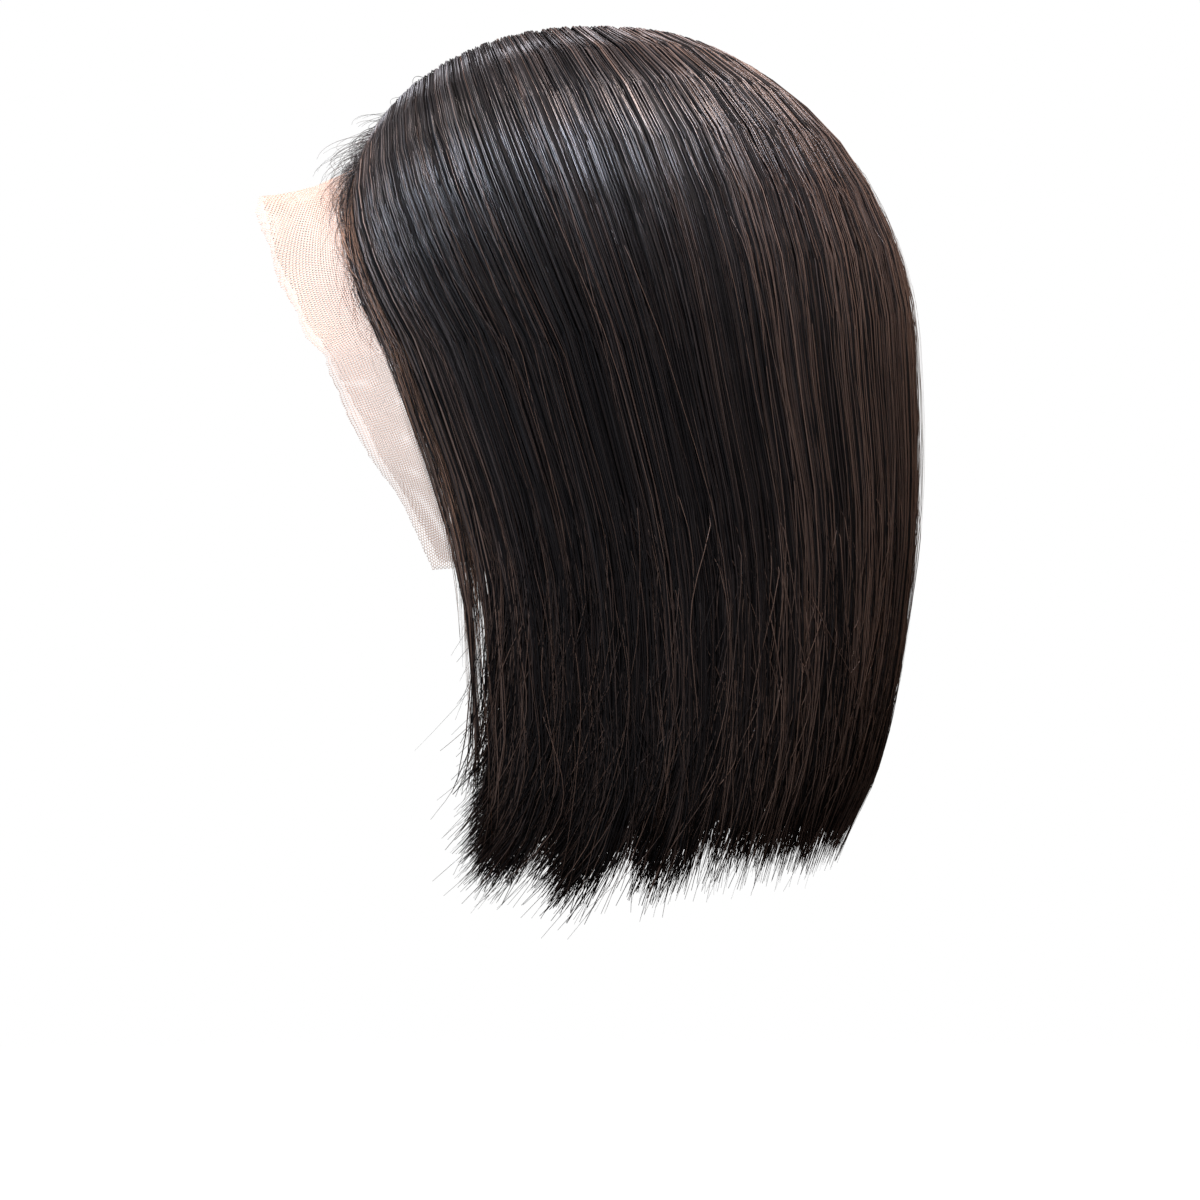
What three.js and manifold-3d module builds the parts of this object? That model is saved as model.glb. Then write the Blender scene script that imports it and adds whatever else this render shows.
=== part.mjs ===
// A straight bob wig with a centre part and a sheer lace front, in millimetres.
// The origin is the inside of the crown. +Z is up, the wearer faces -Y, and the wearer's left is +X.
// Every place on the hair is found from three shares: around (0 at the face edge, 1 at the middle of
// the back), way (0 at the root, 1 at the widest level, 2 at the longest tip) and lift (0 on the cap,
// 1 on the hair's outside).
import * as THREE from "three";
import Module from "manifold-3d";

const wasm = await Module();
wasm.setup();

// The hollow that holds the head, measured from its middle at the widest level
const HEAD_HALF_WIDTH = 76;
const HEAD_FRONT = 108;
const HEAD_BACK = 92;
const HEAD_RISE = 110;

// The cap and its seat for the hair
const CAP_WALL = 1.5;
const SEAT_GAP = 0.35;

// How far the hair stands out from the cap
const FULL_SIDE = 19.5;
const FULL_FRONT = 13.5;
const FULL_BACK = 33.5;
const FULL_TOP = 26;

// The part, the crown and the free lengths
const HAIRLINE_FORWARD = 96;
const HAIRLINE_HALF_WIDTH = 2.5;
const HAIRLINE_SHARE = 0.1;
const CROWN_BACK = 50;
const SECTION_GAP = 0.5;
const HAIR_DROP = 221;
const CURTAIN_WALL = 12;
const BACKING_SHORT = 17;

// The locks
const LOCK_WIDTH = 20;
const LOCK_TIP_SPREAD = 7;
const LOCK_TAPER = 36;
const LOCK_CLEAR = 0.8;

// A cut leaves no sliver thinner than this
const SLIVER = 0.02;

// The backing: its outside as a share of the hair's height, how far it starts inside the hollow before
// that is cut out, and the widest share around of one column
const BACKING_LIFT = 0.8;
const BACKING_SUNK = 0.4;
const BACKING_STEP = 0.085;

// The locks' shape in shares: half a lock's width of the step between two, its width at the tip and how
// blunt it is there, and the height of its two edges, full and at the tip
const LOCK_REACH = 0.62;
const LOCK_TIP_WIDTH = 0.14;
const LOCK_BLUNT = 0.8;
const LOCK_EDGE_LIFT = 0.5;
const LOCK_TIP_LIFT = 0.35;
const LOCK_TAPER_SHARES = [0.3, 0.7];

// Uneven tips: the turn of the wave from one lock to the next, and from one piece to another
const TIP_WAVE = 2.3;
const TIP_WAVE_START = 9;

// The lace
const LACE_WALL = 1;
const LACE_GAP = 0.4;
const LACE_REACH = 38;
const LACE_TURN = 8;
const LACE_LIFT = 0.25;
const LACE_RIPPLE = 0.8;
const LACE_RIPPLE_WAVE = 1.9;
const LACE_ROOT = 0.01;

// Colours and how rough each finish is
const HAIR_FINISH = { color: 0x241b17, roughness: 0.35 };
const CAP_FINISH = { color: 0x1d1715, roughness: 0.9 };
const LACE_FINISH = { color: 0xf0d6c2, roughness: 0.8 };

// How square each form is, seen from above and from the side. Lean makes the front squarer than the back.
const HEAD_SHAPE = { plan: 2.3, profile: 2.7, lean: 0.3 };
const HAIR_SHAPE = { plan: 2.1, profile: 2.05, lean: 0.15 };

// Rings of the cap and of the hollow: degrees above the widest level
const CLIMBS = [74, 56, 38, 19, 0];
const TURNS = 32;

// The cap's lower edge behind the ear tabs: degrees from straight ahead, and the drop from the crown as
// a share of HEAD_RISE. In front of them it follows the hair's front edge.
const CAP_EDGE = [
  { angle: 54, drop: 1.17 },
  { angle: 66, drop: 1.06 },
  { angle: 85, drop: 0.98 },
  { angle: 110, drop: 1.1 },
  { angle: 140, drop: 1.4 },
  { angle: 180, drop: 1.52 },
];
const CAP_FRONT_WAYS = [0, 0.2, 0.4, 0.6, 0.8, 1, 1.08];
const CAP_BEHIND_HAIR = 0.02;

// What is cut away under the cap's edge reaches from inside its wall to well past it, in shares of the
// head's half width, front and rise
const CAP_CUT = { near: 0.7, far: 1.15, floor: 2 };

// The cap below the widest level, where it draws in to the nape, as shares of the head's sizes
const CAP_SKIRT = [
  { drop: 1.3, width: 0.97, back: 0.96 },
  { drop: 1.6, width: 0.9, back: 0.88 },
];

// The free lengths below the widest level: down as a share of HAIR_DROP, width, front and back as
// shares of the hair's sizes, free is how far the inside has left the cap, thick a share of CURTAIN_WALL
const CURTAIN = [
  { down: 0, width: 1, front: 1, back: 1, free: 0, thick: 1.4 },
  { down: 0.1, width: 1.01, front: 0.99, back: 1.008, free: 0.1, thick: 1.35 },
  { down: 0.21, width: 1.02, front: 0.98, back: 1.011, free: 0.32, thick: 1.3 },
  { down: 0.32, width: 1.025, front: 0.96, back: 1.006, free: 0.6, thick: 1.2 },
  { down: 0.44, width: 1.02, front: 0.94, back: 0.986, free: 0.85, thick: 1.1 },
  { down: 0.56, width: 1.01, front: 0.92, back: 0.96, free: 1, thick: 1 },
  { down: 0.68, width: 0.99, front: 0.9, back: 0.923, free: 1, thick: 0.9 },
  { down: 0.79, width: 0.965, front: 0.88, back: 0.872, free: 1, thick: 0.8 },
  { down: 0.89, width: 0.935, front: 0.87, back: 0.79, free: 1, thick: 0.7 },
  { down: 1, width: 0.9, front: 0.86, back: 0.72, free: 1, thick: 0.6 },
];

// The hair's front edge: degrees from straight ahead at each level down
const FRONT_EDGE = [
  { down: 0, angle: 33 },
  { down: 0.1, angle: 38 },
  { down: 0.21, angle: 44 },
  { down: 0.32, angle: 49 },
  { down: 0.44, angle: 52.5 },
  { down: 0.59, angle: 54 },
  { down: 0.79, angle: 55.5 },
  { down: 0.89, angle: 55 },
  { down: 1, angle: 53 },
];

// Where the roots lie along the part, from the front end to the crown, and how far down the tips reach
const LENGTHS = [
  { around: 0, along: 0, tip: 0.86 },
  { around: 0.1, along: 0.12, tip: 0.94 },
  { around: 0.2, along: 0.24, tip: 0.96 },
  { around: 0.32, along: 0.37, tip: 1 },
  { around: 0.42, along: 0.49, tip: 0.98 },
  { around: 0.55, along: 0.63, tip: 0.95 },
  { around: 0.7, along: 0.77, tip: 0.935 },
  { around: 0.85, along: 0.93, tip: 0.915 },
  { around: 1, along: 1, tip: 0.895 },
];

// How much of its full height the hair has: at the face edge and behind it, and near its root
const EDGE_FULLNESS = [
  { around: 0, full: 0.35 },
  { around: 0.06, full: 0.62 },
  { around: 0.16, full: 0.92 },
  { around: 0.3, full: 1 },
  { around: 1, full: 1 },
];
const ROOT_FULLNESS = [
  { way: 0, full: 0.62 },
  { way: 0.08, full: 0.93 },
  { way: 0.2, full: 1 },
  { way: 2, full: 1 },
];

// Levels of the hollow below the widest one, as shares of HAIR_DROP
const HOLLOW_DOWNS = [0.12, 0.25, 0.4, 0.56, 0.75, 1];

// Levels along every length of hair
const DOME_WAYS = [0, 0.09, 0.24, 0.43, 0.63, 0.82, 1];
const SKIRT_WAYS = [1.22, 1.46, 1.7];

// The pieces of hair, with the share around where each begins and ends
const HAIR_PIECES = [
  { name: "hair_front", from: 0, to: 0.17 },
  { name: "hair_side", from: 0.17, to: 0.58 },
];
const BACK_FROM = 0.58;

// The back's two halves run this far round, a little past the middle, so that they fuse
const BACK_TO = 1.004;

// A short step back from the hair's front edge, and the room kept clear of the lace behind that edge:
// the way where it starts, its share around, and its lifts from outside the hair to inside the cap
const EDGE_STEP = 0.03;
const EDGE_ROOM = { start: -0.07, around: 0.04, lifts: [2.2, 1, 0, -1.5] };

// The lace's lines along the hair's front edge, and the places along each line
const LACE_WAYS = [0.1, 0.2, 0.28, 0.35, 0.45, 0.55, 0.65, 0.75, 0.88, 1, 1.1, 1.21, 1.31, 1.39];
const LACE_SHARES = [0, 0.15, 0.35, 0.65, 1];

// The lace's free edge, measured from its root edge in shares of LACE_REACH
const LACE = [
  { way: 0, wide: 0.16, forward: 1.04, drop: 0.28 },
  { way: 0.1, wide: 0.4, forward: 1.02, drop: 0.14 },
  { way: 0.2, wide: 0.46, forward: 0.98, drop: 0.1 },
  { way: 0.35, wide: 0.34, forward: 0.88, drop: 0.12 },
  { way: 0.55, wide: 0.2, forward: 0.76, drop: 0.18 },
  { way: 0.75, wide: 0.1, forward: 0.72, drop: 0.18 },
  { way: 1, wide: 0, forward: 0.72, drop: 0.05 },
  { way: 1.1, wide: -0.08, forward: 0.72, drop: -0.08 },
  { way: 1.21, wide: -0.13, forward: 0.68, drop: -0.14 },
  { way: 1.31, wide: -0.2, forward: 0.5, drop: -0.16 },
  { way: 1.39, wide: -0.2, forward: 0.28, drop: 0.03 },
];

// Half the way round the hair, and small gaps as shares of it
const HALF_ROUND = 0.5 * Math.PI * (HEAD_HALF_WIDTH + HEAD_BACK) + HEAD_FRONT / 2;
const EDGE = SECTION_GAP / 2 / HALF_ROUND;
const LOCK_INSET = LOCK_CLEAR / HALF_ROUND;

const MIDDLE = new THREE.Vector3(0, 0, -HEAD_RISE);
const mix = THREE.MathUtils.lerp;
const clamp = THREE.MathUtils.clamp;
const radians = THREE.MathUtils.degToRad;

// A column of a table at a value of its first column, along smooth curves through the rows.
function read(table, key, at, column) {
  const last = table.length - 1;
  const place = clamp(at, table[0][key], table[last][key]);
  let i = 0;
  while (i < last - 1 && table[i + 1][key] < place) i += 1;
  const slope = (a, b) => (table[b][column] - table[a][column]) / (table[b][key] - table[a][key]);
  const step = table[i + 1][key] - table[i][key];
  const t = (place - table[i][key]) / step;
  const startSlope = slope(Math.max(i - 1, 0), i + 1) * step;
  const endSlope = slope(i, Math.min(i + 2, last)) * step;
  const rise = table[i + 1][column] - table[i][column];
  const bend = (startSlope * (1 - t) - endSlope * t) * t * (1 - t);
  return table[i][column] + rise * t * t * (3 - 2 * t) + bend;
}

function headForm(outward) {
  return {
    halfWidth: HEAD_HALF_WIDTH + outward,
    front: HEAD_FRONT + outward,
    back: HEAD_BACK + outward,
    rise: HEAD_RISE + outward,
    ...HEAD_SHAPE,
  };
}

function hairForm() {
  return {
    halfWidth: HEAD_HALF_WIDTH + CAP_WALL + FULL_SIDE,
    front: HEAD_FRONT + CAP_WALL + FULL_FRONT,
    back: HEAD_BACK + CAP_WALL + FULL_BACK,
    rise: HEAD_RISE + CAP_WALL + FULL_TOP,
    ...HAIR_SHAPE,
  };
}

// The distance from the middle of the hollow to a form's surface, along a level or climbing direction.
function reach(form, direction) {
  const level = Math.hypot(direction.x, direction.y);
  const ahead = level > 0 ? -direction.y / level : 0;
  const profile = form.profile + form.lean * ahead;
  const length = direction.y < 0 ? form.front : form.back;
  const across = (Math.abs(direction.x) / form.halfWidth) ** form.plan;
  const along = (Math.abs(direction.y) / length) ** form.plan;
  const climb = (Math.abs(direction.z) / form.rise) ** profile;
  return ((across + along) ** (profile / form.plan) + climb) ** (-1 / profile);
}

// A direction at an angle from straight ahead, on the left for a positive angle, and its climb.
function heading(angle, climb) {
  const turn = radians(angle);
  const lift = radians(climb);
  return new THREE.Vector3(
    Math.sin(turn) * Math.cos(lift),
    -Math.cos(turn) * Math.cos(lift),
    Math.sin(lift),
  );
}

// The outside of the hair at a level below the widest one.
function curtainOutside(down) {
  const form = hairForm();
  return {
    ...form,
    halfWidth: form.halfWidth * read(CURTAIN, "down", down, "width"),
    front: form.front * read(CURTAIN, "down", down, "front"),
    back: form.back * read(CURTAIN, "down", down, "back"),
  };
}

// The inside of the hair there: on the cap at first, then a wall's thickness in from the outside.
function curtainInside(down) {
  const seat = headForm(CAP_WALL + SEAT_GAP);
  const outside = curtainOutside(down);
  const free = read(CURTAIN, "down", down, "free");
  const wall = CURTAIN_WALL * read(CURTAIN, "down", down, "thick");
  const side = (key) => mix(seat[key], outside[key] - wall, free);
  const plan = mix(seat.plan, outside.plan, free);
  return { ...outside, plan, halfWidth: side("halfWidth"), front: side("front"), back: side("back") };
}

// The direction of a root on the part, a little to one side of the middle.
function rootDirection(side, around) {
  const along = read(LENGTHS, "around", around, "along");
  const y = mix(-HAIRLINE_FORWARD, CROWN_BACK, along);
  const form = headForm(CAP_WALL + SEAT_GAP);
  const length = y < 0 ? form.front : form.back;
  const z = form.rise * (1 - (Math.abs(y) / length) ** form.profile) ** (1 / form.profile);
  const beside = mix(HAIRLINE_HALF_WIDTH, SECTION_GAP / 2, clamp(along / HAIRLINE_SHARE, 0, 1));
  return new THREE.Vector3(side * beside, y, z).normalize();
}

function fallAngle(around, down) {
  return mix(read(FRONT_EDGE, "down", down, "angle"), 180, around);
}

// A place in the hair from the three shares, on the left for side 1 and on the right for side -1.
function hairPlace(side, around, way, lift) {
  const full = read(EDGE_FULLNESS, "around", around, "full") * read(ROOT_FULLNESS, "way", way, "full");
  const down = Math.max(way - 1, 0);
  let direction = heading(side * fallAngle(around, down), 0);
  let inside = curtainInside(down);
  let outside = curtainOutside(down);
  if (way < 1) {
    const root = rootDirection(side, around);
    const turn = root.angleTo(direction);
    root.multiplyScalar(Math.sin((1 - way) * turn)).addScaledVector(direction, Math.sin(way * turn));
    direction = root.normalize();
    inside = headForm(CAP_WALL + SEAT_GAP);
    outside = hairForm();
  }
  const near = reach(inside, direction);
  const far = Math.max(reach(outside, direction), near);
  const place = direction.multiplyScalar(mix(near, far, lift * full)).add(MIDDLE);
  return place.setZ(place.z - down * HAIR_DROP);
}

// A closed solid from points and triangles, with its faces turned outwards.
function solid(points, faces) {
  const at = (i) => points[i];
  const volume = faces.reduce(
    (sum, [a, b, c]) => sum + at(a).dot(new THREE.Vector3().crossVectors(at(b), at(c))),
    0,
  );
  const turned = volume < 0 ? faces.map(([a, b, c]) => [a, c, b]) : faces;
  return new wasm.Manifold(
    new wasm.Mesh({
      numProp: 3,
      vertProperties: new Float32Array(points.flatMap((p) => p.toArray())),
      triVerts: new Uint32Array(turned.flat()),
    }),
  );
}

// A solid over a stack of rings with as many points each. An end is closed by a fan to the point given
// for it, or else by a ladder between the two halves of its ring.
function skin(rings, firstPoint, lastPoint) {
  const count = rings[0].length;
  const points = rings.flat();
  const faces = [];
  for (let r = 0; r + 1 < rings.length; r += 1) {
    for (let i = 0; i < count; i += 1) {
      const next = (i + 1) % count;
      const [a, b] = [r * count + i, r * count + next];
      faces.push([a, b, b + count], [a, b + count, a + count]);
    }
  }
  const close = (start, point, flip) => {
    const add = (a, b, c) => faces.push(flip ? [start + b, start + a, c] : [start + a, start + b, c]);
    if (point) {
      points.push(point);
      for (let i = 0; i < count; i += 1) add((i + 1) % count, i, points.length - 1);
      return;
    }
    for (let i = 0; i + 1 < count / 2; i += 1) {
      const far = count - 1 - i;
      add(i + 1, i, start + far);
      if (far - 1 > i + 1) add(far, far - 1, start + i + 1);
    }
  };
  close(0, firstPoint, false);
  close((rings.length - 1) * count, lastPoint, true);
  return solid(points, faces);
}

// A level ring round the whole head, at a height above the middle of the hollow.
function levelRing(form, height) {
  return Array.from({ length: TURNS }, (_, i) => {
    const direction = heading((360 * i) / TURNS, 0);
    return direction.multiplyScalar(reach(form, direction)).add(MIDDLE).setZ(height - HEAD_RISE);
  });
}

// The rings of a dome from the top down to the widest level.
function domeRings(form) {
  return CLIMBS.map((climb) =>
    Array.from({ length: TURNS }, (_, i) => {
      const direction = heading((360 * i) / TURNS, climb);
      return direction.multiplyScalar(reach(form, direction)).add(MIDDLE);
    }),
  );
}

// The rings of the cap below the widest level.
function capSkirtRings(outward) {
  return CAP_SKIRT.map((row) => {
    const form = headForm(outward);
    form.halfWidth *= row.width;
    form.back *= row.back;
    return levelRing(form, (1 - row.drop) * HEAD_RISE);
  });
}

function crownPoint(outward) {
  return new THREE.Vector3(0, 0, outward);
}

// The cap's whole edge on one side, from straight ahead to the nape.
function capEdge() {
  const front = CAP_FRONT_WAYS.map((way) => {
    const place = hairPlace(1, CAP_BEHIND_HAIR, way, 0);
    return { angle: THREE.MathUtils.radToDeg(Math.atan2(place.x, -place.y)), drop: -place.z / HEAD_RISE };
  });
  return [...front, ...CAP_EDGE];
}

// Everything under the cap's lower edge, which is cut away from it.
function belowCapEdge() {
  const rows = capEdge();
  const near = HEAD_HALF_WIDTH * CAP_CUT.near;
  const far = HEAD_FRONT * CAP_CUT.far;
  const floor = -HEAD_RISE * CAP_CUT.floor;
  const rings = Array.from({ length: TURNS }, (_, i) => {
    const angle = mix(-180, 180, i / TURNS);
    const edge = -HEAD_RISE * read(rows, "angle", Math.abs(angle), "drop");
    const ahead = heading(angle, 0);
    const corner = (radius, z) => ahead.clone().multiplyScalar(radius).setZ(z);
    return [corner(near, edge), corner(far, edge), corner(far, floor), corner(near, floor)];
  });
  const count = rings[0].length;
  const faces = [];
  rings.forEach((_, r) => {
    for (let i = 0; i < count; i += 1) {
      const [a, b] = [r * count + i, r * count + ((i + 1) % count)];
      const next = ((r + 1) % TURNS) * count;
      const [c, d] = [next + ((i + 1) % count), next + i];
      faces.push([a, b, c], [a, c, d]);
    }
  });
  return solid(rings.flat(), faces);
}

function wigCap() {
  const outer = [...domeRings(headForm(CAP_WALL)), ...capSkirtRings(CAP_WALL)];
  const inner = [...domeRings(headForm(0)), ...capSkirtRings(0)];
  const shell = skin([...outer, ...inner.reverse()], crownPoint(CAP_WALL), crownPoint(0));
  return shell.subtract(belowCapEdge());
}

// The room for the cap and the wearer inside the hair.
function hairHollow() {
  const seat = headForm(CAP_WALL + SEAT_GAP);
  const skirt = HOLLOW_DOWNS.map((down) => levelRing(curtainInside(down), -down * HAIR_DROP));
  const rings = [...domeRings(seat), ...skirt];
  const bottom = new THREE.Vector3(0, 0, -HEAD_RISE - HAIR_DROP);
  return skin(rings, crownPoint(CAP_WALL + SEAT_GAP), bottom);
}

// The backing of a stretch of hair: a closed wall from inside the hollow out to under the locks.
function backing(side, from, to) {
  const columns = Math.max(2, Math.round((to - from) / BACKING_STEP));
  const arounds = Array.from({ length: columns + 1 }, (_, i) => mix(from, to, i / columns));
  const end = (around) => 1 + read(LENGTHS, "around", around, "tip") - BACKING_SHORT / HAIR_DROP;
  const ring = (wayAt) => [
    ...arounds.map((around) => hairPlace(side, around, wayAt(around), BACKING_LIFT)),
    ...arounds.map((around) => hairPlace(side, around, wayAt(around), -BACKING_SUNK)).reverse(),
  ];
  const rings = [...DOME_WAYS, ...SKIRT_WAYS].map((way) => ring(() => way));
  return skin([...rings, ring(end)]);
}

// One lock from root to tip: a ridge over the backing that narrows to its tip.
function lock(side, centre, halfWidth, limits, tipDown) {
  const tip = 1 + tipDown;
  const taperFrom = tip - LOCK_TAPER / HAIR_DROP;
  const taper = LOCK_TAPER_SHARES.map((share) => mix(taperFrom, tip, share));
  const ways = [...DOME_WAYS, ...SKIRT_WAYS, ...taper, tip];
  const rings = ways.map((way) => {
    const left = clamp((tip - way) / (tip - taperFrom), 0, 1);
    const narrow = mix(LOCK_TIP_WIDTH, 1, left ** LOCK_BLUNT);
    const at = (share, lift) => {
      const around = clamp(centre + share * halfWidth * narrow, limits[0], limits[1]);
      return hairPlace(side, around, way, lift);
    };
    const low = mix(LOCK_TIP_LIFT, LOCK_EDGE_LIFT, left);
    return [at(-1, low), at(0, 1), at(1, low)];
  });
  return skin(rings);
}

// The locks over a stretch of hair, with uneven tips.
function locks(side, from, to) {
  const count = Math.max(2, Math.round(((to - from) * HALF_ROUND) / LOCK_WIDTH));
  const step = (to - from) / count;
  return Array.from({ length: count }, (_, i) => {
    const centre = from + (i + 0.5) * step;
    const uneven = (LOCK_TIP_SPREAD / HAIR_DROP) * Math.sin(TIP_WAVE * i + TIP_WAVE_START * from);
    const tipDown = read(LENGTHS, "around", centre, "tip") - Math.abs(uneven);
    return lock(side, centre, step * LOCK_REACH, [from + LOCK_INSET, to - LOCK_INSET], tipDown);
  });
}

// A fused stretch of hair, hollow where the cap and the wearer go.
function hairStretch(side, from, to) {
  return [backing(side, from, to), ...locks(side, from, to)];
}

function fuse(solids) {
  return solids.reduce((whole, piece) => whole.add(piece));
}

// A cut solid without the slivers that the cuts leave.
function cleaned(shape) {
  return shape.simplify(SLIVER);
}

function hairPiece(side, piece) {
  const from = piece.from > 0 ? piece.from + EDGE : 0;
  return cleaned(fuse(hairStretch(side, from, piece.to - EDGE)).subtract(hairHollow()));
}

function hairBack() {
  const halves = [1, -1].flatMap((side) => hairStretch(side, BACK_FROM + EDGE, BACK_TO));
  return cleaned(fuse(halves).subtract(hairHollow()));
}

// The direction along the head from the hair's front edge towards the face.
function facewards(side, way) {
  return hairPlace(side, 0, way, 0).sub(hairPlace(side, EDGE_STEP, way, 0)).normalize();
}

// Room kept clear of the lace along the hair's front edge, past the middle and past the lace's end.
function edgeRoom(side) {
  const ways = [EDGE_ROOM.start, ...DOME_WAYS, ...SKIRT_WAYS];
  const ahead = (way, lift) => {
    return hairPlace(side, 0, way, lift).addScaledVector(facewards(side, way), LACE_GAP);
  };
  const ring = (way) => [
    ...EDGE_ROOM.lifts.map((lift) => ahead(way, lift)),
    ...EDGE_ROOM.lifts.map((lift) => hairPlace(side, EDGE_ROOM.around, way, lift)).reverse(),
  ];
  return skin(ways.map(ring));
}

// The lace: a thin sheet ruled from under the hair's front edge to its own free edge.
function laceFront() {
  const stations = [
    ...LACE_WAYS.map((way) => [-1, way]).reverse(),
    [-1, 0],
    [1, 0],
    ...LACE_WAYS.map((way) => [1, way]),
  ];
  const lines = stations.map(([side, way]) => {
    const root = hairPlace(side, LACE_ROOT, way, LACE_LIFT);
    const turn = root.clone().addScaledVector(facewards(side, way), LACE_TURN);
    const free = hairPlace(side, 0, way, LACE_LIFT);
    free.x += side * LACE_REACH * read(LACE, "way", way, "wide");
    free.y -= LACE_REACH * read(LACE, "way", way, "forward");
    free.z -= LACE_REACH * read(LACE, "way", way, "drop");
    const curve = new THREE.QuadraticBezierCurve3(root, turn, free);
    return LACE_SHARES.map((share) => curve.getPoint(share));
  });
  const normalAt = (i, j) => {
    const last = LACE_SHARES.length - 1;
    const [a, b] = [lines[Math.max(i - 1, 0)][j], lines[Math.min(i + 1, lines.length - 1)][j]];
    const [c, d] = [lines[i][Math.max(j - 1, 0)], lines[i][Math.min(j + 1, last)]];
    return new THREE.Vector3().crossVectors(b.clone().sub(a), d.clone().sub(c)).normalize();
  };
  const face = (i, j, out) => {
    const ripple = LACE_RIPPLE * Math.sin(LACE_RIPPLE_WAVE * i) * LACE_SHARES[j];
    return lines[i][j].clone().addScaledVector(normalAt(i, j), ripple + out * LACE_WALL);
  };
  const rings = lines.map((_, i) => [
    ...LACE_SHARES.map((_share, j) => face(i, j, 0.5)),
    ...LACE_SHARES.map((_share, j) => face(i, j, -0.5)).reverse(),
  ]);
  return skin(rings).subtract(edgeRoom(1)).subtract(edgeRoom(-1));
}

// A named mesh from a solid, with its own material.
function mesh(name, shape, finish) {
  const data = shape.getMesh();
  const geometry = new THREE.BufferGeometry();
  geometry.setAttribute("position", new THREE.BufferAttribute(data.vertProperties, 3));
  geometry.setIndex(new THREE.BufferAttribute(data.triVerts, 1));
  geometry.computeVertexNormals();
  const made = new THREE.Mesh(geometry, new THREE.MeshStandardMaterial({ ...finish, metalness: 0 }));
  made.name = name;
  return made;
}

const wig = new THREE.Group();
wig.add(mesh("wig_cap", wigCap(), CAP_FINISH));
wig.add(mesh("lace_front", laceFront(), LACE_FINISH));
for (const [ending, side] of [["left", 1], ["right", -1]]) {
  for (const piece of HAIR_PIECES) {
    wig.add(mesh(`${piece.name}_${ending}`, hairPiece(side, piece), HAIR_FINISH));
  }
}
wig.add(mesh("hair_back", hairBack(), HAIR_FINISH));

export default wig;
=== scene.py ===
"""A straight dark bob wig with a centre part and a sheer lace front, dressed strand by strand.

Every strand is placed by three shares, as the hair's own form is: around (0 at the face edge, 1 at the
middle of the back), way (0 at the root, 1 at the widest level, 2 at the longest tip) and lift (0 on the
cap, 1 on the hair's outside). Sizes are in millimetres and become metres when a mesh is made.
"""
import math

import bpy
import numpy as np
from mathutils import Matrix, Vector


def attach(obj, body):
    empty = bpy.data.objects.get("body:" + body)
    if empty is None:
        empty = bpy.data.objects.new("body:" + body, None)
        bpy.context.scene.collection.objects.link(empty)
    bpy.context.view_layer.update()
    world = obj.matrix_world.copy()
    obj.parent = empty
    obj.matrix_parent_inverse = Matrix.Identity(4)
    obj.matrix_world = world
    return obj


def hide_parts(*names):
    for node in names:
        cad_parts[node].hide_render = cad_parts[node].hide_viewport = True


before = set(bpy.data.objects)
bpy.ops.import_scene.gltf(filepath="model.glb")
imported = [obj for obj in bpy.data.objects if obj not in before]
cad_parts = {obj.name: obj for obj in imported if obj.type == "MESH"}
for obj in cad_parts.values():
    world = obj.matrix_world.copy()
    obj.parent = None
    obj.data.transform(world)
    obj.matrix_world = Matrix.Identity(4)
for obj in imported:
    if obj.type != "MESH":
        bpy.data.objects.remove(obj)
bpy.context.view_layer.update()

MM = 0.001
SEED = 11


def table(columns, *rows):
    """A short table as one array for each named column."""
    return dict(zip(columns.split(), np.array(rows, float).T))


def named_rows(columns, **rows):
    """A short table as a name and its named values for each row."""
    return {name: dict(zip(columns.split(), row)) for name, row in rows.items()}


# The head's hollow and the hair's fullness over it
HEAD_HALF_WIDTH = 76
HEAD_FRONT = 108
HEAD_BACK = 92
HEAD_RISE = 110
CAP_WALL = 1.5
SEAT_GAP = 0.35
FULL_SIDE = 19.5
FULL_FRONT = 13.5
FULL_BACK = 33.5
FULL_TOP = 26
HAIRLINE_FORWARD = 96
HAIRLINE_HALF_WIDTH = 2.5
HAIRLINE_SHARE = 0.1
CROWN_BACK = 50
PART_HALF_WIDTH = 0.25
HAIR_DROP = 221
CURTAIN_WALL = 12
HALF_ROUND = 0.5 * math.pi * (HEAD_HALF_WIDTH + HEAD_BACK) + HEAD_FRONT / 2
MIDDLE = np.array([0, 0, -HEAD_RISE])

# The hair below the widest level, at shares of its drop: its spans against that level, how far it hangs
# free of the head, and the thickness of its wall
SPANS = ("half_width", "front", "back")
CURTAIN = table(
    "down half_width front back free thick",
    (0, 1, 1, 1, 0, 1.4),
    (0.1, 1.01, 0.99, 1.008, 0.1, 1.35),
    (0.21, 1.02, 0.98, 1.011, 0.32, 1.3),
    (0.32, 1.025, 0.96, 1.006, 0.6, 1.2),
    (0.44, 1.02, 0.94, 0.986, 0.85, 1.1),
    (0.56, 1.01, 0.92, 0.96, 1, 1),
    (0.68, 0.99, 0.9, 0.923, 1, 0.9),
    (0.79, 0.965, 0.88, 0.872, 1, 0.8),
    (0.89, 0.935, 0.87, 0.79, 1, 0.7),
    (1, 0.9, 0.86, 0.72, 1, 0.6),
)

# The face edge, in degrees from straight ahead, at shares of the drop
FRONT_EDGE = table(
    "down angle",
    *((0, 33), (0.1, 38), (0.21, 44), (0.32, 49), (0.44, 52.5)),
    *((0.59, 54), (0.79, 55.5), (0.89, 55), (1, 53)),
)

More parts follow.
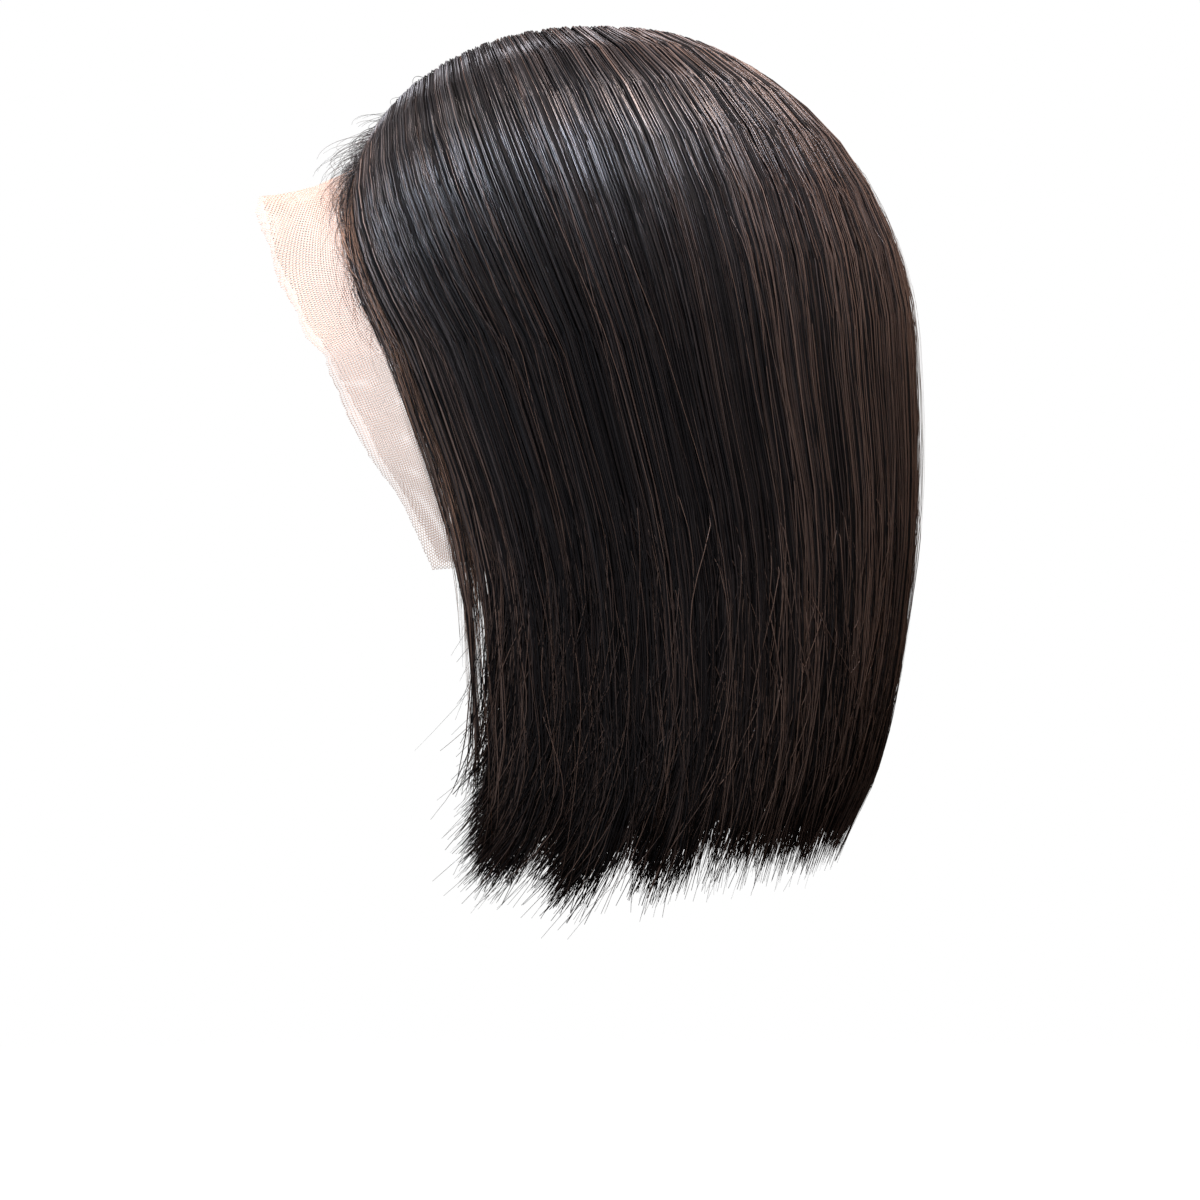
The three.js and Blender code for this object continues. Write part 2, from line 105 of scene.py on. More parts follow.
# Where the roots lie along the part, and how much of the drop the lengths reach down
LENGTHS = table(
    "around along tip",
    (0, 0, 0.86),
    (0.1, 0.1, 0.94),
    (0.2, 0.2, 0.96),
    (0.32, 0.31, 1),
    (0.42, 0.4, 0.98),
    (0.55, 0.51, 0.95),
    (0.7, 0.62, 0.935),
    (0.85, 0.76, 0.915),
    (1, 1, 0.895),
)
EDGE_FULLNESS = table("around full", (0, 0.35), (0.06, 0.62), (0.16, 0.92), (0.3, 1), (1, 1))
ROOT_FULLNESS = table("way full", (0, 0.62), (0.08, 0.93), (0.2, 1), (2, 1))

# How far the tips sweep towards the face, as a share around
TIP_SWEEP = table(
    "around sweep",
    *((0, 0.03), (0.06, 0.06), (0.15, 0.1), (0.3, 0.09), (0.5, 0.04), (0.7, 0.01), (1, 0)),
)

# The lace's free edge, measured from its root edge in shares of its reach
LACE = table(
    "way wide forward drop",
    (0, 0.16, 1.04, 0.28),
    (0.1, 0.4, 1.02, 0.14),
    (0.2, 0.46, 0.98, 0.1),
    (0.35, 0.34, 0.88, 0.12),
    (0.55, 0.2, 0.76, 0.18),
    (0.75, 0.1, 0.72, 0.18),
    (1, 0, 0.72, 0.05),
    (1.1, -0.08, 0.72, -0.08),
    (1.21, -0.13, 0.68, -0.14),
    (1.31, -0.2, 0.5, -0.16),
    (1.39, -0.2, 0.28, 0.03),
)
LACE_REACH = 38
LACE_TURN = 8
LACE_LIFT = 0.25
LACE_ROOT = 0.03
LACE_END = 1.39
LACE_COLUMNS = 220
LACE_ROWS = 14
LACE_CLOTH = 0.12
LACE_CELL = 1.05
LACE_THREAD = 0.145

# The net's soft waves: height, turns along the edge and turns across
LACE_WAVES = ((0.9, 9, 3), (0.35, 23, -4))

# The net's one sharper crease, at the temple, and the nubs and waves left where it was cut
CREASE_HEIGHT = 1.6
CREASE_SHARE = 0.72
CREASE_BOW = 0.1
CREASE_BOW_TURNS = 4
CREASE_HALF_WIDTH = 0.06
CREASE_WAY = 0.3
CREASE_HALF_LENGTH = 0.35
CUT_SHARE = 0.999
CUT_NUBS = (-0.5, 0.45)
CUT_WAVE = 0.9
CUT_WAVE_TURN = 0.13

# The cap's lower edge behind the ear tabs: degrees from straight ahead, and the drop from the crown as a
# share of the head's rise. In front of them it follows the hair's front edge.
CAP_EDGE = table("angle drop", (54, 1.17), (66, 1.06), (85, 0.98), (110, 1.1), (140, 1.4), (180, 1.52))
CAP_SKIRT = table("drop half_width back", (1, 1, 1), (1.3, 0.97, 0.96), (1.6, 0.9, 0.88))
CAP_FRONT_WAYS = np.array([0, 0.2, 0.4, 0.6, 0.8, 1, 1.08])
CAP_BEHIND_HAIR = 0.035
CAP_SEGMENTS = 128
CAP_RINGS = 64
CAP_CLEARANCE = 0.4
CAP_CLOTH = 0.9
HEM_RISE = (0.965, 0.01)
HEM_THICKNESS = 0.5

# The layers of strands: how many on each millimetre round the widest level, their lift, where their roots lie
# along the way, how much shorter than the lengths they are, strands in a clump, points along a strand, half
# width, sideways drift, and how brown they are. A pair is the least and the most of a random value.
LAYERS = named_rows(
    "dense lift root short clump points half drift tone",
    cover=(4.6, (0.82, 0.99), (0, 0.02), (-6, 22), 8, 16, 0.27, 2, 0),
    middle=(1.8, (0.6, 0.84), (0, 0.4), (-4, 26), 8, 14, 0.25, 2.8, 0),
    ends=(4.3, (0.4, 0.94), (1.1, 1.5), (-9, 30), 9, 10, 0.18, 3.4, 0.1),
    inner=(1.6, (0.02, 0.3), (0.9, 1.3), (-2, 32), 8, 9, 0.2, 2, 0.05),
    fringe=(2, (0.2, 0.98), (1.4, 1.65), (-12, 20), 2, 9, 0.12, 8, 0.35),
    loose=(0.7, (0.97, 1.07), (0, 0.6), (-8, 90), 1, 16, 0.11, 9, 0.25),
    crossing=(2.1, (0.96, 1.02), (1.15, 1.65), (-12, 45), 1, 13, 0.16, 17, 0.38),
)

# Strands of layers whose roots all lie above LONG_ROOT keep low over the part and have more points at both
# ends. Roots of layers that reach below DIPPED_ROOT are tucked in under the hair above.
LONG_ROOT = 0.6
DIPPED_ROOT = 0.1
ROOT_CROWDING = 1.35
DRAW_LIMIT = 2.4

# A strand's thickness
STRAND_FLATNESS = 0.75
STRAND_TIP_WIDTH = 0.45
TIP_THINNING = 24
ROOT_WIDTH = 0.6
ROOT_TAPER = 0.06
WIDTH_SPREAD = 0.28
WIDTH_RANGE = (0.5, 1.7)

# How strands gather in clumps, broad locks and fine wisps, and how uneven these leave the tips
CLUMP_HALF_WIDTH = 1.2
CLUMP_TIGHTNESS = 0.3
CLUMP_POINT_LENGTH = 60
LOCK_WIDTH = 15
LOCK_PULL = 0.4
LOCK_PULL_SHARE = (0.2, 1.2)
LOCK_LENGTH = 42
LOCK_UNEVEN = 4.5
LOCK_OFFSET = 0.3
LOCK_OFFSETS = 64
WISP_WIDTH = 6
WISP_UNEVEN = 3.5
SHORTER_BY = 6
ROOT_SPREAD = 0.01

# The thin bundles that the lengths at the face edge hang in
BUNDLE_WIDTH = 7.5
BUNDLE_PULL = 0.88
BUNDLE_LAST = 0.12
BUNDLE_RISE = (1.28, 0.3)
EDGE_SPARE = 0.07

# How strands wander and sway on their way down, and how their ends sweep, splay and curl
WAVE_TURNS = (2, 6)
WANDER = 2.2
WANDER_SHARE = (0.2, 1)
SWAY_SHARE = 0.35
SWAY_TURNS = (3, 7)
SWAY_START = 3
SWEEP_LENGTH = 64
SWEEP_SHARE = (0.4, 1.3)
SWEEP_UNEVEN = 0.5
SWEEP_CURVE = 2.4
END_SPLAY = 0.012
END_CURL = 0.011
END_CURL_TURNS = 4
END_CURL_START = 1.5

# How far strands lie off the cap: low at the part, over the crest beside it, and sunk in at their tips
LIFT_SPREAD = 0.03
LIFT_WAVE = (-0.03, 0.03)
LEAST_LIFT = 0.01
TIP_SINK = (0, 0.3)
ROOT_DIP = 0.5
ROOT_DIP_SHARE = 0.2
ROOT_LEVEL = 0.93
ROOT_LEVEL_RISE = (0.1, 0.4)
PART_LEVEL = 0.03
PART_CURVE = 0.8
PART_RISE = 0.12
CREST = 0.16
CREST_WAY = 0.75
CREST_FALL = 0.6
CREST_AROUND = 0.72
CREST_FADE = 0.45

# How brown strands are, from 0 for black, with more at the roots and the crown. The more at the back and the
# tips is painted backlight, brown where light shines through the hair; the more at the face edge is partly
# the hair's own brown and partly painted light shining through it.
TONE_OF_CLUMP = (0.02, 0.2)
TONE_OF_STRAND = 0.22
TONE_LIMIT = 0.8
# The brown added at the back is painted backlight, standing in for rim light shining through the hair.
BACK_PAINTED_BACKLIGHT = 0.48
BACK_RISE = (0.38, 0.45)
# The brown added at the face edge is partly the hair's own brown and partly painted light shining through the
# thin hair.
FACE_TONE_AND_PAINTED_LIGHT = 0.52
FACE_FULL = 1.3
FACE_FADE = 0.12
# The brown added at the tips is painted backlight, standing in for light shining through them.
TIP_PAINTED_BACKLIGHT = 0.34
TIP_BACKLIGHT_FADE = 36
ROOT_TONE = 0.16
ROOT_FADE = 0.16
CROWN_TONE = 0.3
CROWN_FADE = 0.4
CROWN_RISE = (0.2, 0.3)
DULL_SHARE = 0.4

# Fine hairs knotted in the lace. A pair is the least and the most, and a spread shapes a beta curve.
FACE_HAIR = dict(
    count=640, points=14, last_root=1.2, crowding=1.1, long=(0.15, 0.75), ahead=0.5,
    ahead_spread=(0.9, 3.4), ahead_full=1.6, ahead_fade=0.75, wander=0.02, wander_turns=6,
    wander_apart=50, joining=(0.6, 1.2), off_lace=(0.3, 2.2), joined_around=(-0.005, 0.05),
    # Their tone reaches the lightest browns: partly their own colour, partly painted light shining through
    # them.
    joined_lift=(0.4, 1.1), half=(0.09, 0.17), tone=(0.7, 1.15),
)
FACE_AXIS = np.array([0, -10, -HEAD_RISE])

# Short hairs that curl off the hairline. Their last root is given at the face edge and behind it.
BABY_HAIR = dict(
    count=430, points=11, around=(-0.012, 0.03), stray=0.3, stray_spread=(0.5, 3), crowding=1.9,
    last_root=(0.9, 0.16), narrowing=0.06, lift=(0.1, 0.8), long=(8, 30), rise=(0.1, 0.9),
    lead=(0.1, 0.8), curl=(1.5, 4.5), reach=1.3, droop=0.25, half=(0.1, 0.19), tone=(0.15, 0.7),
)
FINE_TIP_WIDTH = 0.4
EDGE_STEP = 0.04
EDGE_LIFT = 0.3
FALL_STEP = 0.06
FALL_LIFT = 0.5

# The solid body of hair behind the strands. Where a value is a pair for its lift, the first is at its end.
BODY_COLUMN = 1.6
BODY_LAST = 1.84
BODY_ROOT_WAYS = (0, 0.03, 0.06, 0.1, 0.14)
BODY_WAYS = np.concatenate([BODY_ROOT_WAYS, np.linspace(0.2, 1, 9), np.linspace(1.08, BODY_LAST, 12)])
BODY_THIN = 0.3
BODY_OUTSIDE = (0.5, 0.76)
BODY_INSIDE = (0.4, 0.1)
BODY_EDGE = (0.048, 0.16)
BODY_EDGE_RISE = (1.42, 0.25)
BODY_SHORT = 54
RAGGED = 12
RAGGED_TURNS = (0.9, 0.37)
GROOVE_DEPTH = 0.03
GROOVE_WIDTHS = (0.45, 1.3)
INNER_GROOVE = 0.5
BODY_TONE = 0.12
BODY_LENGTH = 240

# The pieces of hair: the node that each stands for, its side, its first and last share around, and how its
# clumps thin out to the face edge
HAIR_PIECES = named_rows(
    "node side around thin",
    strands_front_left=("hair_front_left", 1, (0, 0.17), 0.5),
    strands_front_right=("hair_front_right", -1, (0, 0.17), 0.5),
    strands_side_left=("hair_side_left", 1, (0.17, 0.58), 1),
    strands_side_right=("hair_side_right", -1, (0.17, 0.58), 1),
    strands_back_left=("hair_back", 1, (0.58, 1), 1),
    strands_back_right=("hair_back", -1, (0.58, 1), 1),
)

# The map for the bake: a strip for the body, then rows of narrow cells, one for each strand
MAP_BODY = 0.03
MAP_START = 0.04
MAP_HEIGHT = 0.95
MAP_ROWS = 12
CELL_CORNERS = np.array([0.1, 0.5, 0.9])
CELL_ENDS = (0.05, 0.95)

# Colours of the finishes, and how large their patterns are. Those of hair are turns for each millimetre
# across and along it: patches of shine 17 mm long, and shaded hair 0.6 mm wide and 33 mm long.
# The lighter stops carry painted light as well: the backlight at the back and the tips, and the top stop,
# kept for the face hairs, partly light shining through them.
HAIR_COLOURS_AND_PAINTED_LIGHT = (
    (0, "#040404"),
    (0.22, "#0c0a0a"),
    (0.45, "#201b19"),
    (0.72, "#3b302a"),
    (0.88, "#5f4c40"),
    (1, "#8f6c55"),
)
BODY_COLOURS = ((0.3, "#030303"), (0.8, "#15100e"))
KNIT_COLOURS = ((0.1, "#0b0909"), (1, "#2a2321"))
LACE_COLOUR = "#c9a48c"
SHINE_PATCHES = (3, 0.06, 1)
BODY_PATCHES = (1.6, 0.03, 1)
STRANDS_APART = 100
STRAND_LENGTH = 250
BODY_BUMP = 0.6
KNIT_BUMP = 0.4
KNIT_RIBS = 1.208
KNIT_FUZZ = 1.111

# The photo's frame is 492 mm high at the middle of the wig, and its centre lies 211 mm under the crown.
# From here on sizes are in metres and angles in degrees.
FRAME_HEIGHT = 0.492
CAMERA_TARGET = (0, -0.0017, -0.211)
CAMERA_AZIMUTH = 90
CAMERA_ELEVATION = 1.5
CAMERA_DISTANCE = 3.0
SENSOR = 36
FLOOR_LEVEL = -0.5
FLOOR_RADIUS = 1.3
FLOOR_FADE = 0.3
LIGHT_TARGET = (0, 0, -0.15)
LIGHTS = named_rows(
    "azimuth elevation distance size watts colour",
    key_softbox=(66, 54, 1.5, (1.2, 0.34), 66, "#e4ecff"),
    back_softbox=(136, 73, 1.5, (0.8, 0.5), 55, "#ffe8e0"),
    far_softbox=(-80, 50, 1.6, (1.0, 0.6), 14, "#f4f4ff"),
    overhead=(0, 88, 2.0, (1.6, 1.6), 5, "#fff6f0"),
)
FILL_STRENGTH = 0.08


def mix(a, b, t):
    """The value at a share t of the way from a to b."""
    return a + (b - a) * t


def smooth(t):
    """A share held between 0 and 1 that eases in and out."""
    t = np.clip(t, 0, 1)
    return t * t * (3 - 2 * t)


def rising(at, start, length):
    """A share that eases from 0 at a start to 1 over a length."""
    return smooth((at - start) / length)


def unit(v):
    """Vectors brought to length 1."""
    return v / np.linalg.norm(v, axis=-1, keepdims=True)


def together(*values):
    """Numbers and arrays brought to one shape."""
    return np.broadcast_arrays(*(np.asarray(value, float) for value in values))


def shown(points):
    """Points in millimetres as metres."""
    return np.asarray(points, float) * MM


def read(rows, key, at, column):
    """A table's column at values of its key column, along smooth curves through the rows."""
    keys, values = rows[key], rows[column]
    last = len(keys) - 1
    place = np.clip(at, keys[0], keys[-1])
    i = np.clip(np.searchsorted(keys, place, side="left") - 1, 0, last - 1)
    before, after = np.maximum(i - 1, 0), np.minimum(i + 2, last)
    step = keys[i + 1] - keys[i]
    t = (place - keys[i]) / step
    start = (values[i + 1] - values[before]) / (keys[i + 1] - keys[before]) * step
    end = (values[after] - values[i]) / (keys[after] - keys[i]) * step
    bend = (start * (1 - t) - end * t) * t * (1 - t)
    return values[i] + (values[i + 1] - values[i]) * t * t * (3 - 2 * t) + bend


def head_form(outward):
    """The head's hollow grown outwards: its reach each way, and how square it is in plan and in profile."""
    return {
        "half_width": HEAD_HALF_WIDTH + outward,
        "front": HEAD_FRONT + outward,
        "back": HEAD_BACK + outward,
        "rise": HEAD_RISE + outward,
        "plan": 2.3,
        "profile": 2.7,
        "lean": 0.3,
    }


def seat_form():
    """The surface that the hair sits on, just outside the cap."""
    return head_form(CAP_WALL + SEAT_GAP)


def hair_form():
    """The hair's outside above the widest level."""
    return {
        "half_width": HEAD_HALF_WIDTH + CAP_WALL + FULL_SIDE,
        "front": HEAD_FRONT + CAP_WALL + FULL_FRONT,
        "back": HEAD_BACK + CAP_WALL + FULL_BACK,
        "rise": HEAD_RISE + CAP_WALL + FULL_TOP,
        "plan": 2.1,
        "profile": 2.05,
        "lean": 0.15,
    }


def reach(form, direction):
    """The distance from the middle of the hollow to a form's surface along each direction."""
    x, y, z = np.moveaxis(direction, -1, 0)
    level = np.maximum(np.hypot(x, y), 1e-9)
    profile = form["profile"] + form["lean"] * -y / level
    length = np.where(y < 0, form["front"], form["back"])
    across = (np.abs(x) / form["half_width"]) ** form["plan"]
    along = (np.abs(y) / length) ** form["plan"]
    climb = (np.abs(z) / form["rise"]) ** profile
    return ((across + along) ** (profile / form["plan"]) + climb) ** (-1 / profile)


def curtain_outside(down):
    """The hair's outside below the widest level."""
    form = hair_form()
    for key in SPANS:
        form[key] = form[key] * read(CURTAIN, "down", down, key)
    return form


def curtain_inside(down):
    """The inside of the hair: on the cap at first, then a wall's thickness in from the outside."""
    seat, outside = seat_form(), curtain_outside(down)
    free = read(CURTAIN, "down", down, "free")
    wall = CURTAIN_WALL * read(CURTAIN, "down", down, "thick")
    form = dict(outside)
    for key in SPANS:
        form[key] = mix(seat[key], outside[key] - wall, free)
    form["plan"] = mix(seat["plan"], outside["plan"], free)
    return form


def root_direction(side, around):
    """The direction of a root on the part, a little to one side of the middle."""
    along = read(LENGTHS, "around", around, "along")
    y = mix(-HAIRLINE_FORWARD, CROWN_BACK, along)
    form = seat_form()
    length = np.where(y < 0, form["front"], form["back"])
    z = form["rise"] * (1 - (np.abs(y) / length) ** form["profile"]) ** (1 / form["profile"])
    beside = mix(HAIRLINE_HALF_WIDTH, PART_HALF_WIDTH, np.clip(along / HAIRLINE_SHARE, 0, 1))
    return unit(np.stack([side * beside, y, z], -1))


def hair_place(side, around, way, lift):
    """Places in the hair from the three shares, on the left for side 1 and on the right for side -1."""
    side, around, way, lift = together(side, around, way, lift)
    full = read(EDGE_FULLNESS, "around", around, "full") * read(ROOT_FULLNESS, "way", way, "full")
    down = np.maximum(way - 1, 0)
    angle = np.radians(side * mix(read(FRONT_EDGE, "down", down, "angle"), 180, around))
    level = np.stack([np.sin(angle), -np.cos(angle), np.zeros_like(angle)], -1)
    root = root_direction(side, around)
    turn = np.arccos(np.clip((root * level).sum(-1), -1, 1))[..., None]
    share = np.minimum(way, 1)[..., None]
    direction = unit(root * np.sin((1 - share) * turn) + level * np.sin(share * turn))
    falls = way >= 1
    near = np.where(falls, reach(curtain_inside(down), direction), reach(seat_form(), direction))
    far = np.where(falls, reach(curtain_outside(down), direction), reach(hair_form(), direction))
    radius = mix(near, np.maximum(far, near), lift * full)
    place = direction * radius[..., None] + MIDDLE
    place[..., 2] -= down * HAIR_DROP
    return place


def lace_place(side, way, share):
    """A place on the lace, at a way down the hair's front edge and a share out to the cut edge."""
    side, way, share = together(side, way, share)
    root = hair_place(side, LACE_ROOT, way, LACE_LIFT)
    wide, forward, drop = (LACE_REACH * read(LACE, "way", way, key) for key in ("wide", "forward", "drop"))
    free = hair_place(side, 0, way, LACE_LIFT) + np.stack([side * wide, -forward, -drop], -1)
    turn = root + unit(hair_place(side, 0, way, 0) - hair_place(side, LACE_ROOT, way, 0)) * LACE_TURN
    t = share[..., None]
    return root * (1 - t) ** 2 + turn * 2 * t * (1 - t) + free * t * t


def outward_from(places):
    """The direction out of the hair at each place, away from the middle line below the widest level."""
    axis = np.zeros_like(places)
    axis[..., 2] = np.minimum(places[..., 2], -HEAD_RISE)
    return unit(places - axis)


def out_of_part(around, way):
    """How far hair has risen from the cap at the part: in front to a crest over its full height."""
    risen = smooth(way / PART_RISE)
    in_front = smooth((CREST_AROUND - around) / CREST_FADE)
    crest = CREST * risen * smooth((CREST_WAY - way) / CREST_FALL) * in_front
    return mix(PART_LEVEL, 1, risen**PART_CURVE) + crest


def lock_centre(around, offsets):
    """The middle of the broad lock that a strand ends in."""
    width = LOCK_WIDTH / HALF_ROUND
    index = np.floor(around / width).astype(int)
    return (index + 0.5 + offsets[index % len(offsets)]) * width


def bundle_centre(around, offsets):
    """The middle of the thin bundle that a strand at the face edge hangs in."""
    index = np.round(around * HALF_ROUND / BUNDLE_WIDTH)
    return (index + offsets[index.astype(int)]) * BUNDLE_WIDTH / HALF_ROUND


def uneven(around, spacing, offsets):
    """A smooth random value from -1 to 1 that changes over a spacing in millimetres round the hair."""
    place = around * HALF_ROUND / spacing
    index = np.floor(place).astype(int)
    before, after = offsets[index % len(offsets)], offsets[(index + 1) % len(offsets)]
    return mix(before, after, smooth(place - index)) / LOCK_OFFSET


class Draws:
    """Random draws for a layer, one for each clump of strands or one for each strand."""

    def __init__(self, rng, piece, layer):
        first, last = piece["around"]
        count = round((last - first) * HALF_ROUND * layer["dense"])
        self.rng = rng
        self.clumps = max(2, round(count / layer["clump"]))
        shares = (np.arange(self.clumps) + rng.random(self.clumps)) / self.clumps
        centres = first + (last - first) * shares ** piece["thin"]
        spare = mix(EDGE_SPARE, 1, smooth(centres / BUNDLE_LAST))
        kept = np.flatnonzero(rng.random(self.clumps) < spare)
        count = round(count * len(kept) / self.clumps)
        self.owner = kept[rng.integers(len(kept), size=count)]
        self.centre = centres[self.owner][:, None]

    def clump(self, low, high):
        return self.rng.uniform(low, high, self.clumps)[self.owner][:, None]

    def strand(self, spread):
        draws = self.rng.normal(0, 1, len(self.owner))
        return np.clip(draws, -DRAW_LIMIT, DRAW_LIMIT)[:, None] * spread

    def few_large(self, mean):
        return self.rng.exponential(mean, len(self.owner))[:, None]


def strand_ways(draw, layer, t, offsets):
    """How far down its way each point of a strand lies, and the length that is left from there to the tip."""
    short = draw.clump(*layer["short"]) + draw.few_large(SHORTER_BY)
    short = short + LOCK_UNEVEN * uneven(draw.centre, LOCK_WIDTH, offsets)
    short = short + WISP_UNEVEN * uneven(draw.centre, WISP_WIDTH, offsets)
    tip = 1 + read(LENGTHS, "around", draw.centre, "tip") - short / HAIR_DROP
    root = draw.clump(*layer["root"]) + np.abs(draw.strand(ROOT_SPREAD))
    way = mix(root, tip, t)
    return way, (tip - way) * HAIR_DROP


def gathered(draw, layer, t, way, left, wave, offsets):
    """Where each point lies around: strands in clumps that drift apart and end in locks and bundles."""
    tight = mix(1, CLUMP_TIGHTNESS, smooth(1 - left / CLUMP_POINT_LENGTH))
    across = draw.strand(CLUMP_HALF_WIDTH) * tight
    across = across + draw.clump(*WANDER_SHARE) * WANDER * np.sin(wave) * t
    across = across + draw.strand(layer["drift"]) * t
    sway = draw.strand(layer["drift"] * SWAY_SHARE)
    across = across + sway * np.sin(t * draw.clump(*SWAY_TURNS) + draw.strand(SWAY_START))
    around = draw.centre + across / HALF_ROUND
    pull = LOCK_PULL * draw.clump(*LOCK_PULL_SHARE) * smooth(1 - left / LOCK_LENGTH)
    around = mix(around, lock_centre(draw.centre, offsets), pull)
    bundled = BUNDLE_PULL * rising(way, *BUNDLE_RISE) * (draw.centre < BUNDLE_LAST)
    return mix(around, bundle_centre(draw.centre, offsets), bundled)


def swept(draw, around, left, offsets):
    """Strands whose ends sweep towards the face, splay and curl a little."""
    end = np.clip(1 - left / SWEEP_LENGTH, 0, 1)
    share = draw.clump(*SWEEP_SHARE) - SWEEP_UNEVEN * uneven(draw.centre, LOCK_WIDTH, offsets)
    sweep = read(TIP_SWEEP, "around", draw.centre, "sweep") * share
    around = around - sweep * end**SWEEP_CURVE + draw.strand(END_SPLAY) * end**2
    curl = draw.strand(END_CURL)
    return around + curl * np.sin(end * END_CURL_TURNS + draw.strand(END_CURL_START)) * end


def strand_lifts(draw, layer, t, way, left, wave):
    """How far off the cap each point lies: over the crest beside the part, and sunk in at the tip."""
    lift = draw.clump(*layer["lift"]) + draw.strand(LIFT_SPREAD) + draw.clump(*LIFT_WAVE) * np.sin(wave)
    if layer["root"][1] < LONG_ROOT:
        lift = mix(np.minimum(lift, ROOT_LEVEL), lift, rising(way, *ROOT_LEVEL_RISE))
    lift = lift - draw.clump(*TIP_SINK) * smooth(1 - left / LOCK_LENGTH)
    if layer["root"][1] > DIPPED_ROOT:
        lift = lift * (1 - ROOT_DIP * smooth(1 - t / ROOT_DIP_SHARE))
    return np.maximum(lift * out_of_part(draw.centre, way), LEAST_LIFT)


def strand_half_widths(draw, layer, t, left):
    """Half the width of a strand at each point: less at the root and the tip."""
    half = layer["half"] * np.clip(1 + draw.strand(WIDTH_SPREAD), *WIDTH_RANGE)
    half = half * mix(ROOT_WIDTH, 1, smooth(t / ROOT_TAPER))
    return half * mix(1, STRAND_TIP_WIDTH, smooth(1 - left / TIP_THINNING))


def strand_tones(draw, layer, way, left):
    """How brown a strand is at each point: its own brown, with painted backlight added at the back and the
    tips, and at the face edge a brown that is partly painted light.
    """
    tone = layer["tone"] + draw.clump(*TONE_OF_CLUMP) + np.abs(draw.strand(TONE_OF_STRAND))
    # painted backlight: the back made browner where rim light would shine through the hair
    tone = tone + BACK_PAINTED_BACKLIGHT * rising(draw.centre, *BACK_RISE)
    # partly painted light: the face edge browner, partly its own brown and partly light shining through thin
    # hair
    tone = tone + FACE_TONE_AND_PAINTED_LIGHT * smooth(FACE_FULL - draw.centre / FACE_FADE)
    # painted backlight: the tips made browner where light would shine through them
    tone = tone + TIP_PAINTED_BACKLIGHT * smooth(1 - left / TIP_BACKLIGHT_FADE)
    tone = tone + ROOT_TONE * smooth(1 - way / ROOT_FADE)
    crown = smooth(1 - way / CROWN_FADE) * rising(draw.centre, *CROWN_RISE)
    return np.clip(tone + CROWN_TONE * crown, 0, TONE_LIMIT)


def layer_strands(rng, piece, layer, offsets):
    """The places of a layer's strands, their half widths and their tones."""
    draw = Draws(rng, piece, layer)
    t = np.linspace(0, 1, layer["points"])[None]
    if layer["root"][1] < LONG_ROOT:
        t = mix(t**ROOT_CROWDING, smooth(t), 0.5)
    way, left = strand_ways(draw, layer, t, offsets)
    wave = draw.clump(0, 2 * math.pi) + t * draw.clump(*WAVE_TURNS)
    around = gathered(draw, layer, t, way, left, wave, offsets)
    around = swept(draw, around, left, offsets)
    lift = strand_lifts(draw, layer, t, way, left, wave)
    half = strand_half_widths(draw, layer, t, left)
    tone = strand_tones(draw, layer, way, left)
    return hair_place(piece["side"], around, way, lift), half, tone


def face_hairs(rng, side):
    """Fine brown hairs knotted in the lace just ahead of the thick hair, which they join lower down."""
    hair, count = FACE_HAIR, FACE_HAIR["count"]

    def each(name):
        return rng.uniform(*hair[name], count)[:, None]

    start = rng.random(count)[:, None] ** hair["crowding"] * hair["last_root"]
    t = np.linspace(0, 1, hair["points"])[None]
    way = start + each("long") * t
    spread = rng.beta(*hair["ahead_spread"], count)[:, None]
    ahead = spread * hair["ahead"] * smooth(hair["ahead_full"] - start * hair["ahead_fade"])
    wander = rng.normal(0, hair["wander"], count)[:, None]
    wander = wander * np.sin(t * hair["wander_turns"] + start * hair["wander_apart"])
    joining = smooth(t * each("joining"))
    on_lace = lace_place(side, np.minimum(way, LACE_END), np.abs(ahead * (1 - joining) + wander))
    on_lace = on_lace + unit(on_lace - FACE_AXIS) * each("off_lace")[..., None]
    joined = hair_place(side, each("joined_around"), way, each("joined_lift"))
    half = each("half") * mix(1, FINE_TIP_WIDTH, t)
    return mix(on_lace, joined, joining[..., None]), half, np.minimum(each("tone"), 1)


def baby_hairs(rng, side):
    """Short fine hairs that curl forward and up off the hairline before they lie back."""
    hair, count = BABY_HAIR, BABY_HAIR["count"]

    def each(name):
        return rng.uniform(*hair[name], count)

    around = each("around") + hair["stray"] * rng.beta(*hair["stray_spread"], count)
    last_root = mix(*hair["last_root"], smooth(around / hair["narrowing"]))
    way = rng.random(count) ** hair["crowding"] * last_root
    start = hair_place(side, around, way, each("lift"))
    face = unit(hair_place(side, 0, way, EDGE_LIFT) - hair_place(side, EDGE_STEP, way, EDGE_LIFT))
    lower = hair_place(side, around, way + FALL_STEP, FALL_LIFT)
    fall = unit(lower - hair_place(side, around, way, FALL_LIFT))[:, None]
    long, rise, lead, curl = (each(name)[:, None, None] for name in ("long", "rise", "lead", "curl"))
    t = np.linspace(0, 1, hair["points"])[None, :, None]
    forward = face[:, None] * lead + outward_from(start)[:, None] * (rise * (1 - way[:, None, None]))
    along = np.sin(curl * t) / curl
    round_over = (1 - np.cos(curl * t)) / curl
    path = forward * along * hair["reach"] + fall * round_over + fall * hair["droop"] * t
    half = each("half")[:, None] * mix(1, FINE_TIP_WIDTH, t[..., 0])
    return start[:, None] + path * long, half, each("tone")[:, None]


def strand_rings(places, half_widths):
    """Three-sided rings with a ridge outwards, along each strand."""
    along = unit(np.gradient(places, axis=1))
    across = unit(np.cross(along, outward_from(places)))
    up = np.cross(across, along)
    width, height = half_widths[..., None], half_widths[..., None] * STRAND_FLATNESS
    ridge = places + up * height
    left = places + across * width - up * height / 2
    right = places - across * width - up * height / 2
    return np.stack([ridge, left, right], 2)


